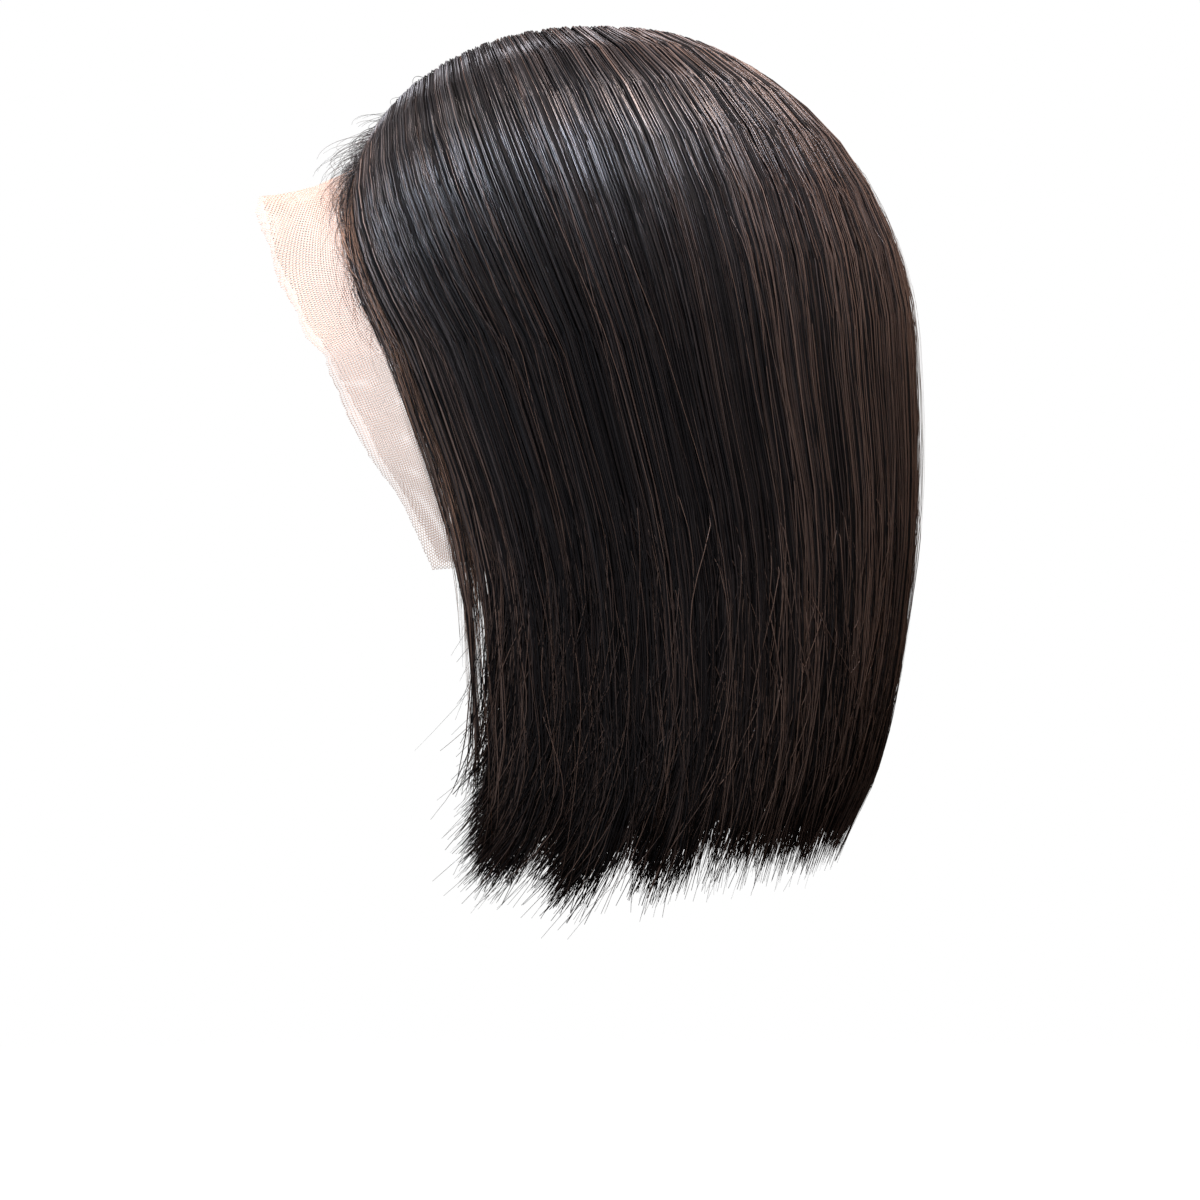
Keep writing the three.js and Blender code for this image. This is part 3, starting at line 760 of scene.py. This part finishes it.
def body_rings(piece):
    """Rings of the solid body of hair behind the strands, open to the cap and uneven at its end."""
    side, (first, last) = piece["side"], piece["around"]
    columns = round((last - first) * HALF_ROUND / BODY_COLUMN)
    share = np.linspace(0, 1, columns)
    even, odd = RAGGED_TURNS
    ragged = RAGGED * np.sin(share * columns * even + side) * np.sin(share * columns * odd)
    rings = []
    for way in BODY_WAYS:
        drawn_back = mix(*BODY_EDGE, rising(way, *BODY_EDGE_RISE))
        around = mix(drawn_back if first == 0 else first, last, share)
        end = 1 + read(LENGTHS, "around", around, "tip") - (BODY_SHORT + ragged) / HAIR_DROP
        here = np.minimum(way, mix(1, end, (way - 1) / (BODY_LAST - 1))) if way > 1 else way
        groove = sum(GROOVE_DEPTH * np.sin(around * HALF_ROUND / width) for width in GROOVE_WIDTHS)
        thin = smooth((BODY_LAST - way) / BODY_THIN)
        rise = out_of_part(around, here)
        outer = hair_place(side, around, here, (mix(*BODY_OUTSIDE, thin) + groove) * rise)
        inner = hair_place(side, around, here, (mix(*BODY_INSIDE, thin) + groove * INNER_GROOVE) * rise)
        rings.append(np.concatenate([outer, inner[::-1]]))
    rings = np.array(rings)
    return rings[:, ::-1] if side > 0 else rings


def strand_map(count, points, group, groups):
    """Places in the bake's map for a group of three-sided strands: one narrow cell for each strand."""
    height = MAP_HEIGHT / groups
    columns = math.ceil(count / MAP_ROWS)
    cell = np.arange(count)
    u = (cell % columns)[:, None, None] + CELL_CORNERS[None, None]
    v = (cell // columns)[:, None, None] + np.linspace(*CELL_ENDS, points)[None, :, None]
    u, v = np.broadcast_arrays(u / columns, MAP_START + height * group + v / MAP_ROWS * height)
    return np.stack([u, v], -1)


def body_part(piece):
    """The solid body as one tube, with its tone, its lie in millimetres, its map and its finish."""
    rings = body_rings(piece)[None]
    share, level = np.meshgrid(np.linspace(0, 1, rings.shape[2]), np.linspace(0, 1, rings.shape[1]))
    lie = np.stack([share * rings.shape[2] * BODY_COLUMN, level * BODY_LENGTH, 0 * share], -1)
    place = np.stack([share, level * MAP_BODY], -1)
    return {"rings": rings, "tone": BODY_TONE, "lie": lie, "map": place, "finish": [1]}


def strand_part(rng, places, half, tone, group, groups):
    """A group of strands as tubes. Each strand has a lie, a cell in the map and a glossy or a dull finish."""
    count, points = places.shape[:2]
    rings = strand_rings(places, half)
    lie = np.zeros(rings.shape)
    lie[..., 0] = rng.random(count)[:, None, None] * STRANDS_APART
    lie[..., 1] = np.linspace(0, STRAND_LENGTH, points)[None, :, None]
    dull = (rng.random(count) < DULL_SHARE).astype(int)
    place = strand_map(count, points, group, groups)
    return {"rings": rings, "tone": tone[..., None], "lie": lie, "map": place, "finish": dull}


def tubes(rings):
    """Points and corner lists of closed tubes, from an array of tube, ring, corner of the ring, and place."""
    count, ring_count, corners = rings.shape[:3]
    ring = np.arange(corners)
    after = np.roll(ring, -1)
    step = np.arange(ring_count - 1)[:, None] * corners
    sides = np.stack([step + ring, step + after, step + after + corners, step + ring + corners], -1)
    if corners == 3:
        start, end = np.array([[2, 1, 0]]), np.array([[0, 1, 2]])
    else:
        i = np.arange(corners // 2 - 1)
        end = np.stack([i, i + 1, corners - 2 - i, corners - 1 - i], -1)
        start = end[:, ::-1]
    ends = np.concatenate([start, end + (ring_count - 1) * corners])
    shift = (np.arange(count) * ring_count * corners)[:, None, None]
    sides = (sides.reshape(1, -1, 4) + shift).reshape(-1, 4)
    return rings.reshape(-1, 3), sides, (ends[None] + shift).reshape(-1, ends.shape[1])


def joined(parts):
    """The points, faces and finishes of several parts: the tubes' sides first, then their ends."""
    points, faces, finishes = [], ([], []), ([], [])
    for part in parts:
        before = sum(len(found) for found in points)
        found, *kinds = tubes(part["rings"])
        points.append(found)
        for kind, group in enumerate(kinds):
            faces[kind].append(group + before)
            finishes[kind].append(np.repeat(part["finish"], len(group) // len(part["finish"])))
    return np.concatenate(points), faces[0] + faces[1], np.concatenate(finishes[0] + finishes[1])


def fill(items, name, values):
    """Sets one property of all of a mesh's items from an array."""
    kind = np.int32 if values.dtype.kind == "i" else np.float32
    items.foreach_set(name, values.astype(kind).ravel())


def add_piece(name, parts, materials):
    """A mesh object of several parts, with the tone and the lie on its points and a map for the bake."""
    points, faces, finishes = joined(parts)
    corners = np.concatenate([group.ravel() for group in faces])
    totals = np.concatenate([np.full(len(group), group.shape[1]) for group in faces])
    tones = [np.broadcast_to(part["tone"], part["rings"].shape[:3]).ravel() for part in parts]
    lie = np.concatenate([part["lie"].reshape(-1, 3) for part in parts])
    places = np.concatenate([part["map"].reshape(-1, 2) for part in parts])
    mesh = bpy.data.meshes.new(name)
    mesh.vertices.add(len(points))
    fill(mesh.vertices, "co", shown(points))
    mesh.loops.add(len(corners))
    fill(mesh.loops, "vertex_index", corners)
    mesh.polygons.add(len(totals))
    fill(mesh.polygons, "loop_start", np.cumsum(totals) - totals)
    fill(mesh.polygons, "loop_total", totals)
    mesh.update(calc_edges=True)
    fill(mesh.attributes.new("tone", "FLOAT", "POINT").data, "value", np.concatenate(tones))
    fill(mesh.attributes.new("lie", "FLOAT_VECTOR", "POINT").data, "vector", lie)
    fill(mesh.uv_layers.new(name="OFBake").uv, "vector", places[corners])
    mesh.shade_smooth()
    for material in materials:
        mesh.materials.append(material)
    fill(mesh.polygons, "material_index", finishes)
    made = bpy.data.objects.new(name, mesh)
    bpy.context.scene.collection.objects.link(made)
    return made


def hair_piece(name, piece, materials):
    """One piece of hair: its body and all its strands, joined in one mesh."""
    rng = np.random.default_rng([SEED, *name.encode()])
    offsets = np.random.default_rng(SEED).uniform(-LOCK_OFFSET, LOCK_OFFSET, LOCK_OFFSETS)
    groups = [layer_strands(rng, piece, layer, offsets) for layer in LAYERS.values()]
    if piece["around"][0] == 0:
        groups += [face_hairs(rng, piece["side"]), baby_hairs(rng, piece["side"])]
    parts = [body_part(piece)]
    parts += [strand_part(rng, *group, number, len(groups)) for number, group in enumerate(groups)]
    made = add_piece(name, parts, materials)
    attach(made, "root")
    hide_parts(piece["node"])


def linear(colour):
    """A colour written as sRGB hex, as the linear values that a shader takes."""
    values = [int(colour[i : i + 2], 16) / 255 for i in (1, 3, 5)]
    return [v / 12.92 if v <= 0.04045 else ((v + 0.055) / 1.055) ** 2.4 for v in values] + [1.0]


def add(tree, kind, inputs=(), **settings):
    """Adds a shader node, sets its properties, and sets or links its inputs by name or number."""
    made = tree.nodes.new("ShaderNode" + kind)
    for name, value in settings.items():
        setattr(made, name, value)
    for key, value in dict(inputs).items():
        if isinstance(value, bpy.types.NodeSocket):
            tree.links.new(value, made.inputs[key])
        else:
            made.inputs[key].default_value = value
    return made


def new_material(name):
    """A material and its empty node tree."""
    material = bpy.data.materials.new(name)
    material.use_nodes = True
    material.node_tree.nodes.clear()
    return material, material.node_tree


def shade(tree, **inputs):
    """The one shader of a material. Its constant values are set on its own sockets."""
    shader = add(tree, "BsdfPrincipled", {name.replace("_", " "): value for name, value in inputs.items()})
    add(tree, "OutputMaterial", {"Surface": shader.outputs[0]})


def set_ramp(ramp, stops):
    """Gives a colour ramp its stops, as places and sRGB hex colours."""
    for place, _ in stops[1:-1]:
        ramp.elements.new(place)
    for element, (place, colour) in zip(ramp.elements, stops):
        element.position = place
        element.color = linear(colour)


def hair_material():
    """Straight human hair, dyed near-black. Some strands lie smooth and shine, others are dull, and a warm
    brown shows on single strands. The brown at the back and the tips is painted backlight, light shining
    through the hair; at the face edge it is partly the hair's own brown and partly painted light."""
    material, tree = new_material("straight_human_hair")
    tone = add(tree, "Attribute", attribute_name="tone")
    lie = add(tree, "Attribute", attribute_name="lie")
    apart = add(tree, "SeparateXYZ", {0: lie.outputs["Vector"]})
    strand = add(tree, "TexWhiteNoise", {"W": apart.outputs[0]}, noise_dimensions="1D")
    ramp = add(tree, "ValToRGB", {0: tone.outputs["Fac"]})
    set_ramp(ramp.color_ramp, HAIR_COLOURS_AND_PAINTED_LIGHT)
    scale = add(tree, "VectorMath", {0: lie.outputs["Vector"], 1: SHINE_PATCHES}, operation="MULTIPLY")
    patches = add(tree, "TexNoise", {"Vector": scale.outputs[0], "Scale": 1.0, "Detail": 2.0})
    dull = {0: patches.outputs["Fac"], 1: 0.6, 2: strand.outputs["Value"]}
    dull = add(tree, "Math", dull, operation="MULTIPLY_ADD")
    spread = {"Value": dull.outputs[0], "From Min": 0.35, "From Max": 1.15, "To Min": 0.13, "To Max": 0.44}
    roughness = add(tree, "MapRange", spread)
    colour, rough = ramp.outputs["Color"], roughness.outputs[0]
    shade(tree, Base_Color=colour, Roughness=rough, IOR=1.55, Specular_IOR_Level=0.38)
    return material


def body_material():
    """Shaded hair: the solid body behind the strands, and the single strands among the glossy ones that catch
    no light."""
    material, tree = new_material("shaded_hair")
    lie = add(tree, "Attribute", attribute_name="lie")
    scale = add(tree, "VectorMath", {0: lie.outputs["Vector"], 1: BODY_PATCHES}, operation="MULTIPLY")
    noise = add(tree, "TexNoise", {"Vector": scale.outputs[0], "Scale": 1.0, "Detail": 3.0})
    ramp = add(tree, "ValToRGB", {0: noise.outputs["Fac"]})
    set_ramp(ramp.color_ramp, BODY_COLOURS)
    bump = add(tree, "Bump", {"Height": noise.outputs["Fac"], "Strength": 0.6, "Distance": BODY_BUMP * MM})
    colour, normal = ramp.outputs["Color"], bump.outputs["Normal"]
    shade(tree, Base_Color=colour, Roughness=0.7, IOR=1.5, Specular_IOR_Level=0.15, Normal=normal)
    return material


def cap_material():
    """Stretch cap cloth, a fine black knit: matt, with ribs about 1.2 mm apart. A true 0.3 mm knit would
    not show, so the ribs are drawn that coarse. A wave at scale 1 has bands a tenth of pi apart."""
    material, tree = new_material("stretch_knit")
    place = add(tree, "TexCoord")
    ribs = {"Vector": place.outputs["Object"], "Scale": math.pi / 10 / (KNIT_RIBS * MM), "Distortion": 1.0}
    ribs = add(tree, "TexWave", ribs, bands_direction="Y")
    fuzz = {"Vector": place.outputs["Object"], "Scale": 1 / (KNIT_FUZZ * MM), "Detail": 3.0}
    fuzz = add(tree, "TexNoise", fuzz)
    height = {0: fuzz.outputs["Fac"], 1: 0.5, 2: ribs.outputs["Fac"]}
    height = add(tree, "Math", height, operation="MULTIPLY_ADD")
    ramp = add(tree, "ValToRGB", {0: height.outputs[0]})
    set_ramp(ramp.color_ramp, KNIT_COLOURS)
    bump = add(tree, "Bump", {"Height": height.outputs[0], "Strength": 0.5, "Distance": KNIT_BUMP * MM})
    colour, normal = ramp.outputs["Color"], bump.outputs["Normal"]
    shade(tree, Base_Color=colour, Roughness=0.85, Specular_IOR_Level=0.2, Normal=normal)
    return material


def lace_material():
    """Fine hexagonal nylon net in a peach skin tone: sheer, because the holes let all light through."""
    material, tree = new_material("hexagonal_nylon_net")
    weave = add(tree, "UVMap", uv_map="weave")
    cells = {0: weave.outputs["UV"], "Scale": 1 / (LACE_CELL * MM)}
    cells = add(tree, "VectorMath", cells, operation="SCALE")
    row = math.sqrt(3)
    edges = []
    for shift in (0, 0.5):
        moved = {0: cells.outputs[0], 1: (shift, shift * row, 0)}
        moved = add(tree, "VectorMath", moved, operation="SUBTRACT")
        near = {0: moved.outputs[0], 1: (0.5, row / 2, 1), 2: (-0.5, -row / 2, -1)}
        near = add(tree, "VectorMath", near, operation="WRAP")
        size = add(tree, "VectorMath", {0: near.outputs[0]}, operation="ABSOLUTE")
        slant = {0: size.outputs[0], 1: (0.5, row / 2, 0)}
        slant = add(tree, "VectorMath", slant, operation="DOT_PRODUCT")
        level = {0: size.outputs[0], 1: (1, 0, 0)}
        level = add(tree, "VectorMath", level, operation="DOT_PRODUCT")
        edge = {0: slant.outputs["Value"], 1: level.outputs["Value"]}
        edges.append(add(tree, "Math", edge, operation="MAXIMUM").outputs[0])
    inside = add(tree, "Math", dict(enumerate(edges)), operation="MINIMUM")
    thread = LACE_THREAD / LACE_CELL / 2
    fade = {"From Min": 0.5 - thread * 1.4, "From Max": 0.5 - thread * 0.6, "To Min": 0.03, "To Max": 0.9}
    alpha = add(tree, "MapRange", {"Value": inside.outputs[0], **fade})
    nylon = {"Base_Color": linear(LACE_COLOUR), "Roughness": 0.6, "IOR": 1.53, "Specular_IOR_Level": 0.3}
    shade(tree, Alpha=alpha.outputs[0], **nylon)
    return material


def deselected():
    """Leaves nothing selected, so that an operator acts only on the new piece."""
    if bpy.context.object and bpy.context.object.mode != "OBJECT":
        bpy.ops.object.mode_set(mode="OBJECT")
    bpy.ops.object.select_all(action="DESELECT")


def points_of(mesh):
    """A mesh's points as an array."""
    found = np.empty(len(mesh.vertices) * 3, np.float32)
    mesh.vertices.foreach_get("co", found)
    return found.reshape(-1, 3).astype(float)


def move_points(mesh, points):
    """Puts a mesh's points at places in millimetres."""
    fill(mesh.vertices, "co", shown(points))
    mesh.update()


def add_wall(piece, thickness, offset):
    """Gives a sheet its thickness, outwards for offset 1 and to both sides for 0, and shades it smooth."""
    wall = piece.modifiers.new("wall", "SOLIDIFY")
    wall.thickness = thickness * MM
    wall.offset = offset
    bpy.ops.object.modifier_apply(modifier="wall")
    bpy.ops.object.shade_smooth()


def finished(piece, name, finish, node):
    """Names a piece, gives it its finish, and lets it stand for its node."""
    piece.name = name
    piece.data.name = name
    piece.data.materials.clear()
    piece.data.materials.append(finish)
    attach(piece, "root")
    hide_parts(node)


def cap_edge():
    """The cap's edge as angles from straight ahead, and how far down a meridian it lies: 1 at the widest
    level, less above it, and the drop as a share of the head's rise below it."""
    places = hair_place(1, CAP_BEHIND_HAIR, CAP_FRONT_WAYS, 0)
    level = np.hypot(places[:, 0], places[:, 1])
    angle = np.degrees(np.arctan2(places[:, 0], -places[:, 1]))
    above = places[:, 2] + HEAD_RISE
    down = np.where(above > 0, 1 - np.degrees(np.arctan2(above, level)) / 90, -places[:, 2] / HEAD_RISE)
    return {"angle": np.append(angle, CAP_EDGE["angle"]), "down": np.append(down, CAP_EDGE["drop"])}


def cap_place(angle, down, outward):
    """A place on the cap at an angle from straight ahead and a share down its meridian."""
    turn = np.radians(angle)
    climb = np.radians(90 * np.maximum(1 - down, 0))
    direction = np.stack([np.sin(turn) * np.cos(climb), -np.cos(turn) * np.cos(climb), np.sin(climb)], -1)
    form = head_form(outward)
    skirt = np.maximum(down, 1)
    for key in ("half_width", "back"):
        form[key] = form[key] * read(CAP_SKIRT, "drop", skirt, key)
    place = direction * reach(form, direction)[..., None] + MIDDLE
    place[..., 2] -= (skirt - 1) * HEAD_RISE
    return place


def wig_cap(finish):
    """The stretch cap: half of a sphere primitive, led down to the cap's edge, with a hem round its rim."""
    deselected()
    bpy.ops.mesh.primitive_uv_sphere_add(segments=CAP_SEGMENTS, ring_count=CAP_RINGS, radius=1)
    cap = bpy.context.object
    bpy.ops.object.mode_set(mode="EDIT")
    bpy.ops.mesh.select_all(action="SELECT")
    bpy.ops.mesh.bisect(plane_co=(0, 0, 0), plane_no=(0, 0, 1), clear_inner=True)
    bpy.ops.object.mode_set(mode="OBJECT")
    points = points_of(cap.data)
    angle = np.degrees(np.arctan2(points[:, 0], -points[:, 1]))
    share = np.arccos(np.clip(points[:, 2], 0, 1)) / (math.pi / 2)
    down = share * read(cap_edge(), "angle", np.abs(angle), "down")
    outward = CAP_CLEARANCE + HEM_THICKNESS * rising(share, *HEM_RISE)
    move_points(cap.data, cap_place(angle, down, outward))
    add_wall(cap, CAP_CLOTH, 1)
    finished(cap, "stretch_cap", finish, "wig_cap")


def lace_creases(way, share):
    """How far the net stands off its smooth form, in millimetres at its free edge."""
    waves = sum(high * np.sin(way * along + share * across) for high, along, across in LACE_WAVES)
    beside = (share - CREASE_SHARE - CREASE_BOW * np.sin(way * CREASE_BOW_TURNS)) / CREASE_HALF_WIDTH
    along = (way - CREASE_WAY) / CREASE_HALF_LENGTH
    return waves + CREASE_HEIGHT * np.exp(-(beside**2)) * np.exp(-(along**2))


def cut_edge():
    """How far the cut edge stands past its line at each column, in millimetres."""
    columns = np.arange(2 * LACE_COLUMNS)
    nubs = np.random.default_rng(SEED).uniform(*CUT_NUBS, len(columns))
    return nubs + CUT_WAVE * np.sin(columns * CUT_WAVE_TURN) ** 3


def lace_surface(column, share):
    """The places of the net's points, and their real distances along and across it for the weave."""
    side = np.where(column >= LACE_COLUMNS, 1, -1)
    step = np.where(side > 0, column - LACE_COLUMNS, LACE_COLUMNS - 1 - column)
    way = step / (LACE_COLUMNS - 1) * LACE_END
    places = lace_place(side, way, share)
    across = lace_place(side, way, 1) - lace_place(side, way, 0)
    places = places + unit(across) * (cut_edge()[column] * (share > CUT_SHARE))[:, None]
    grid = places.reshape(LACE_ROWS + 1, 2 * LACE_COLUMNS, 3)
    normal = unit(np.cross(np.gradient(grid, axis=1), np.gradient(grid, axis=0))).reshape(-1, 3)
    middle = grid[LACE_ROWS // 2]
    along = np.cumsum(np.linalg.norm(np.diff(middle, axis=0, prepend=middle[:1]), axis=1))
    weave = np.stack([along[column], np.linalg.norm(across, axis=1) * share], -1)
    return places + normal * (lace_creases(way, share) * share)[:, None], weave


def lace_front(finish):
    """The lace: a grid primitive laid from under the hair's front edge out to the cut edge, with soft
    creases, small nubs where the net was cut, and its thin wall."""
    deselected()
    bpy.ops.mesh.primitive_grid_add(x_subdivisions=2 * LACE_COLUMNS - 1, y_subdivisions=LACE_ROWS, size=2)
    lace = bpy.context.object
    flat = points_of(lace.data)
    column = np.rint((flat[:, 0] + 1) / 2 * (2 * LACE_COLUMNS - 1)).astype(int)
    places, weave = lace_surface(column, (flat[:, 1] + 1) / 2)
    move_points(lace.data, places)
    corner = np.empty(len(lace.data.loops), np.int32)
    lace.data.loops.foreach_get("vertex_index", corner)
    lace.data.uv_layers[0].name = "weave"
    fill(lace.data.uv_layers[0].uv, "vector", shown(weave)[corner])
    add_wall(lace, LACE_CLOTH, 0)
    finished(lace, "lace_net", finish, "lace_front")


def around_target(target, azimuth, elevation, distance):
    """A place seen from a target. Azimuth 0 is in front of the face and 90 on the wearer's left."""
    turn, climb = math.radians(azimuth), math.radians(elevation)
    level, up = distance * math.cos(climb), distance * math.sin(climb)
    return Vector(target) + Vector((level * math.sin(turn), -level * math.cos(turn), up))


def aimed(name, data, place, target):
    """An object for a camera or a light at a place, facing a target."""
    made = bpy.data.objects.new(name, data)
    made.location = place
    made.rotation_euler = (Vector(target) - Vector(place)).to_track_quat("-Z", "Y").to_euler()
    bpy.context.scene.collection.objects.link(made)
    return made


def add_camera():
    """The camera of the photo: level with the hair, on the wearer's left."""
    data = bpy.data.cameras.new("camera")
    data.sensor_width = SENSOR
    data.lens = SENSOR * CAMERA_DISTANCE / FRAME_HEIGHT
    data.clip_end = 50
    place = around_target(CAMERA_TARGET, CAMERA_AZIMUTH, CAMERA_ELEVATION, CAMERA_DISTANCE)
    bpy.context.scene.camera = aimed("camera", data, place, CAMERA_TARGET)


def add_lights():
    """Soft area lights round the wig."""
    for name, light in LIGHTS.items():
        data = bpy.data.lights.new(name, "AREA")
        data.shape = "RECTANGLE"
        data.size, data.size_y = light["size"]
        data.energy = light["watts"]
        data.color = linear(light["colour"])[:3]
        place = around_target(LIGHT_TARGET, light["azimuth"], light["elevation"], light["distance"])
        aimed(name, data, place, LIGHT_TARGET)


def floor_material():
    """Matt white paper whose rim fades into the white surround. It throws back little light on the hair."""
    material, tree = new_material("white_paper_sweep")
    path = add(tree, "LightPath")
    shades = {0: path.outputs["Is Camera Ray"], 6: linear("#3c3430"), 7: linear("#f6f6f6")}
    colour = add(tree, "Mix", shades, data_type="RGBA").outputs[2]
    place = add(tree, "TexCoord")
    level = add(tree, "VectorMath", {0: place.outputs["Object"], 1: (1, 1, 0)}, operation="MULTIPLY")
    radius = add(tree, "VectorMath", {0: level.outputs[0]}, operation="LENGTH")
    rim = {"From Min": FLOOR_FADE * FLOOR_RADIUS, "From Max": FLOOR_RADIUS, "To Min": 1.0, "To Max": 0.0}
    rim["Value"] = radius.outputs["Value"]
    fade = add(tree, "MapRange", rim, interpolation_type="SMOOTHSTEP")
    shade(tree, Base_Color=colour, Roughness=0.9, Alpha=fade.outputs[0])
    return material


def add_floor():
    """A pale round floor."""
    deselected()
    middle = (0, 0, FLOOR_LEVEL)
    bpy.ops.mesh.primitive_circle_add(vertices=96, radius=FLOOR_RADIUS, fill_type="NGON", location=middle)
    floor = bpy.context.object
    floor.name = "floor"
    bpy.ops.object.transform_apply(location=True, rotation=True, scale=True)
    floor.data.materials.append(floor_material())


def add_surround():
    """A surround that is white to the camera and a faint warm fill to the wig."""
    world = bpy.data.worlds.new("studio")
    bpy.context.scene.world = world
    world.use_nodes = True
    tree = world.node_tree
    tree.nodes.clear()
    seen = add(tree, "Background", {"Color": linear("#ffffff"), "Strength": 1.0})
    fill = add(tree, "Background", {"Color": linear("#fff3ec"), "Strength": FILL_STRENGTH})
    path = add(tree, "LightPath")
    both = {0: path.outputs["Is Camera Ray"], 1: fill.outputs[0], 2: seen.outputs[0]}
    both = add(tree, "MixShader", both)
    add(tree, "OutputWorld", {"Surface": both.outputs[0]})
    bpy.context.scene.view_settings.view_transform = "Standard"


add_camera()
wig_cap(cap_material())
lace_front(lace_material())
hair_materials = (hair_material(), body_material())
for piece_name, piece_sizes in HAIR_PIECES.items():
    hair_piece(piece_name, piece_sizes, hair_materials)
add_lights()
add_floor()
add_surround()
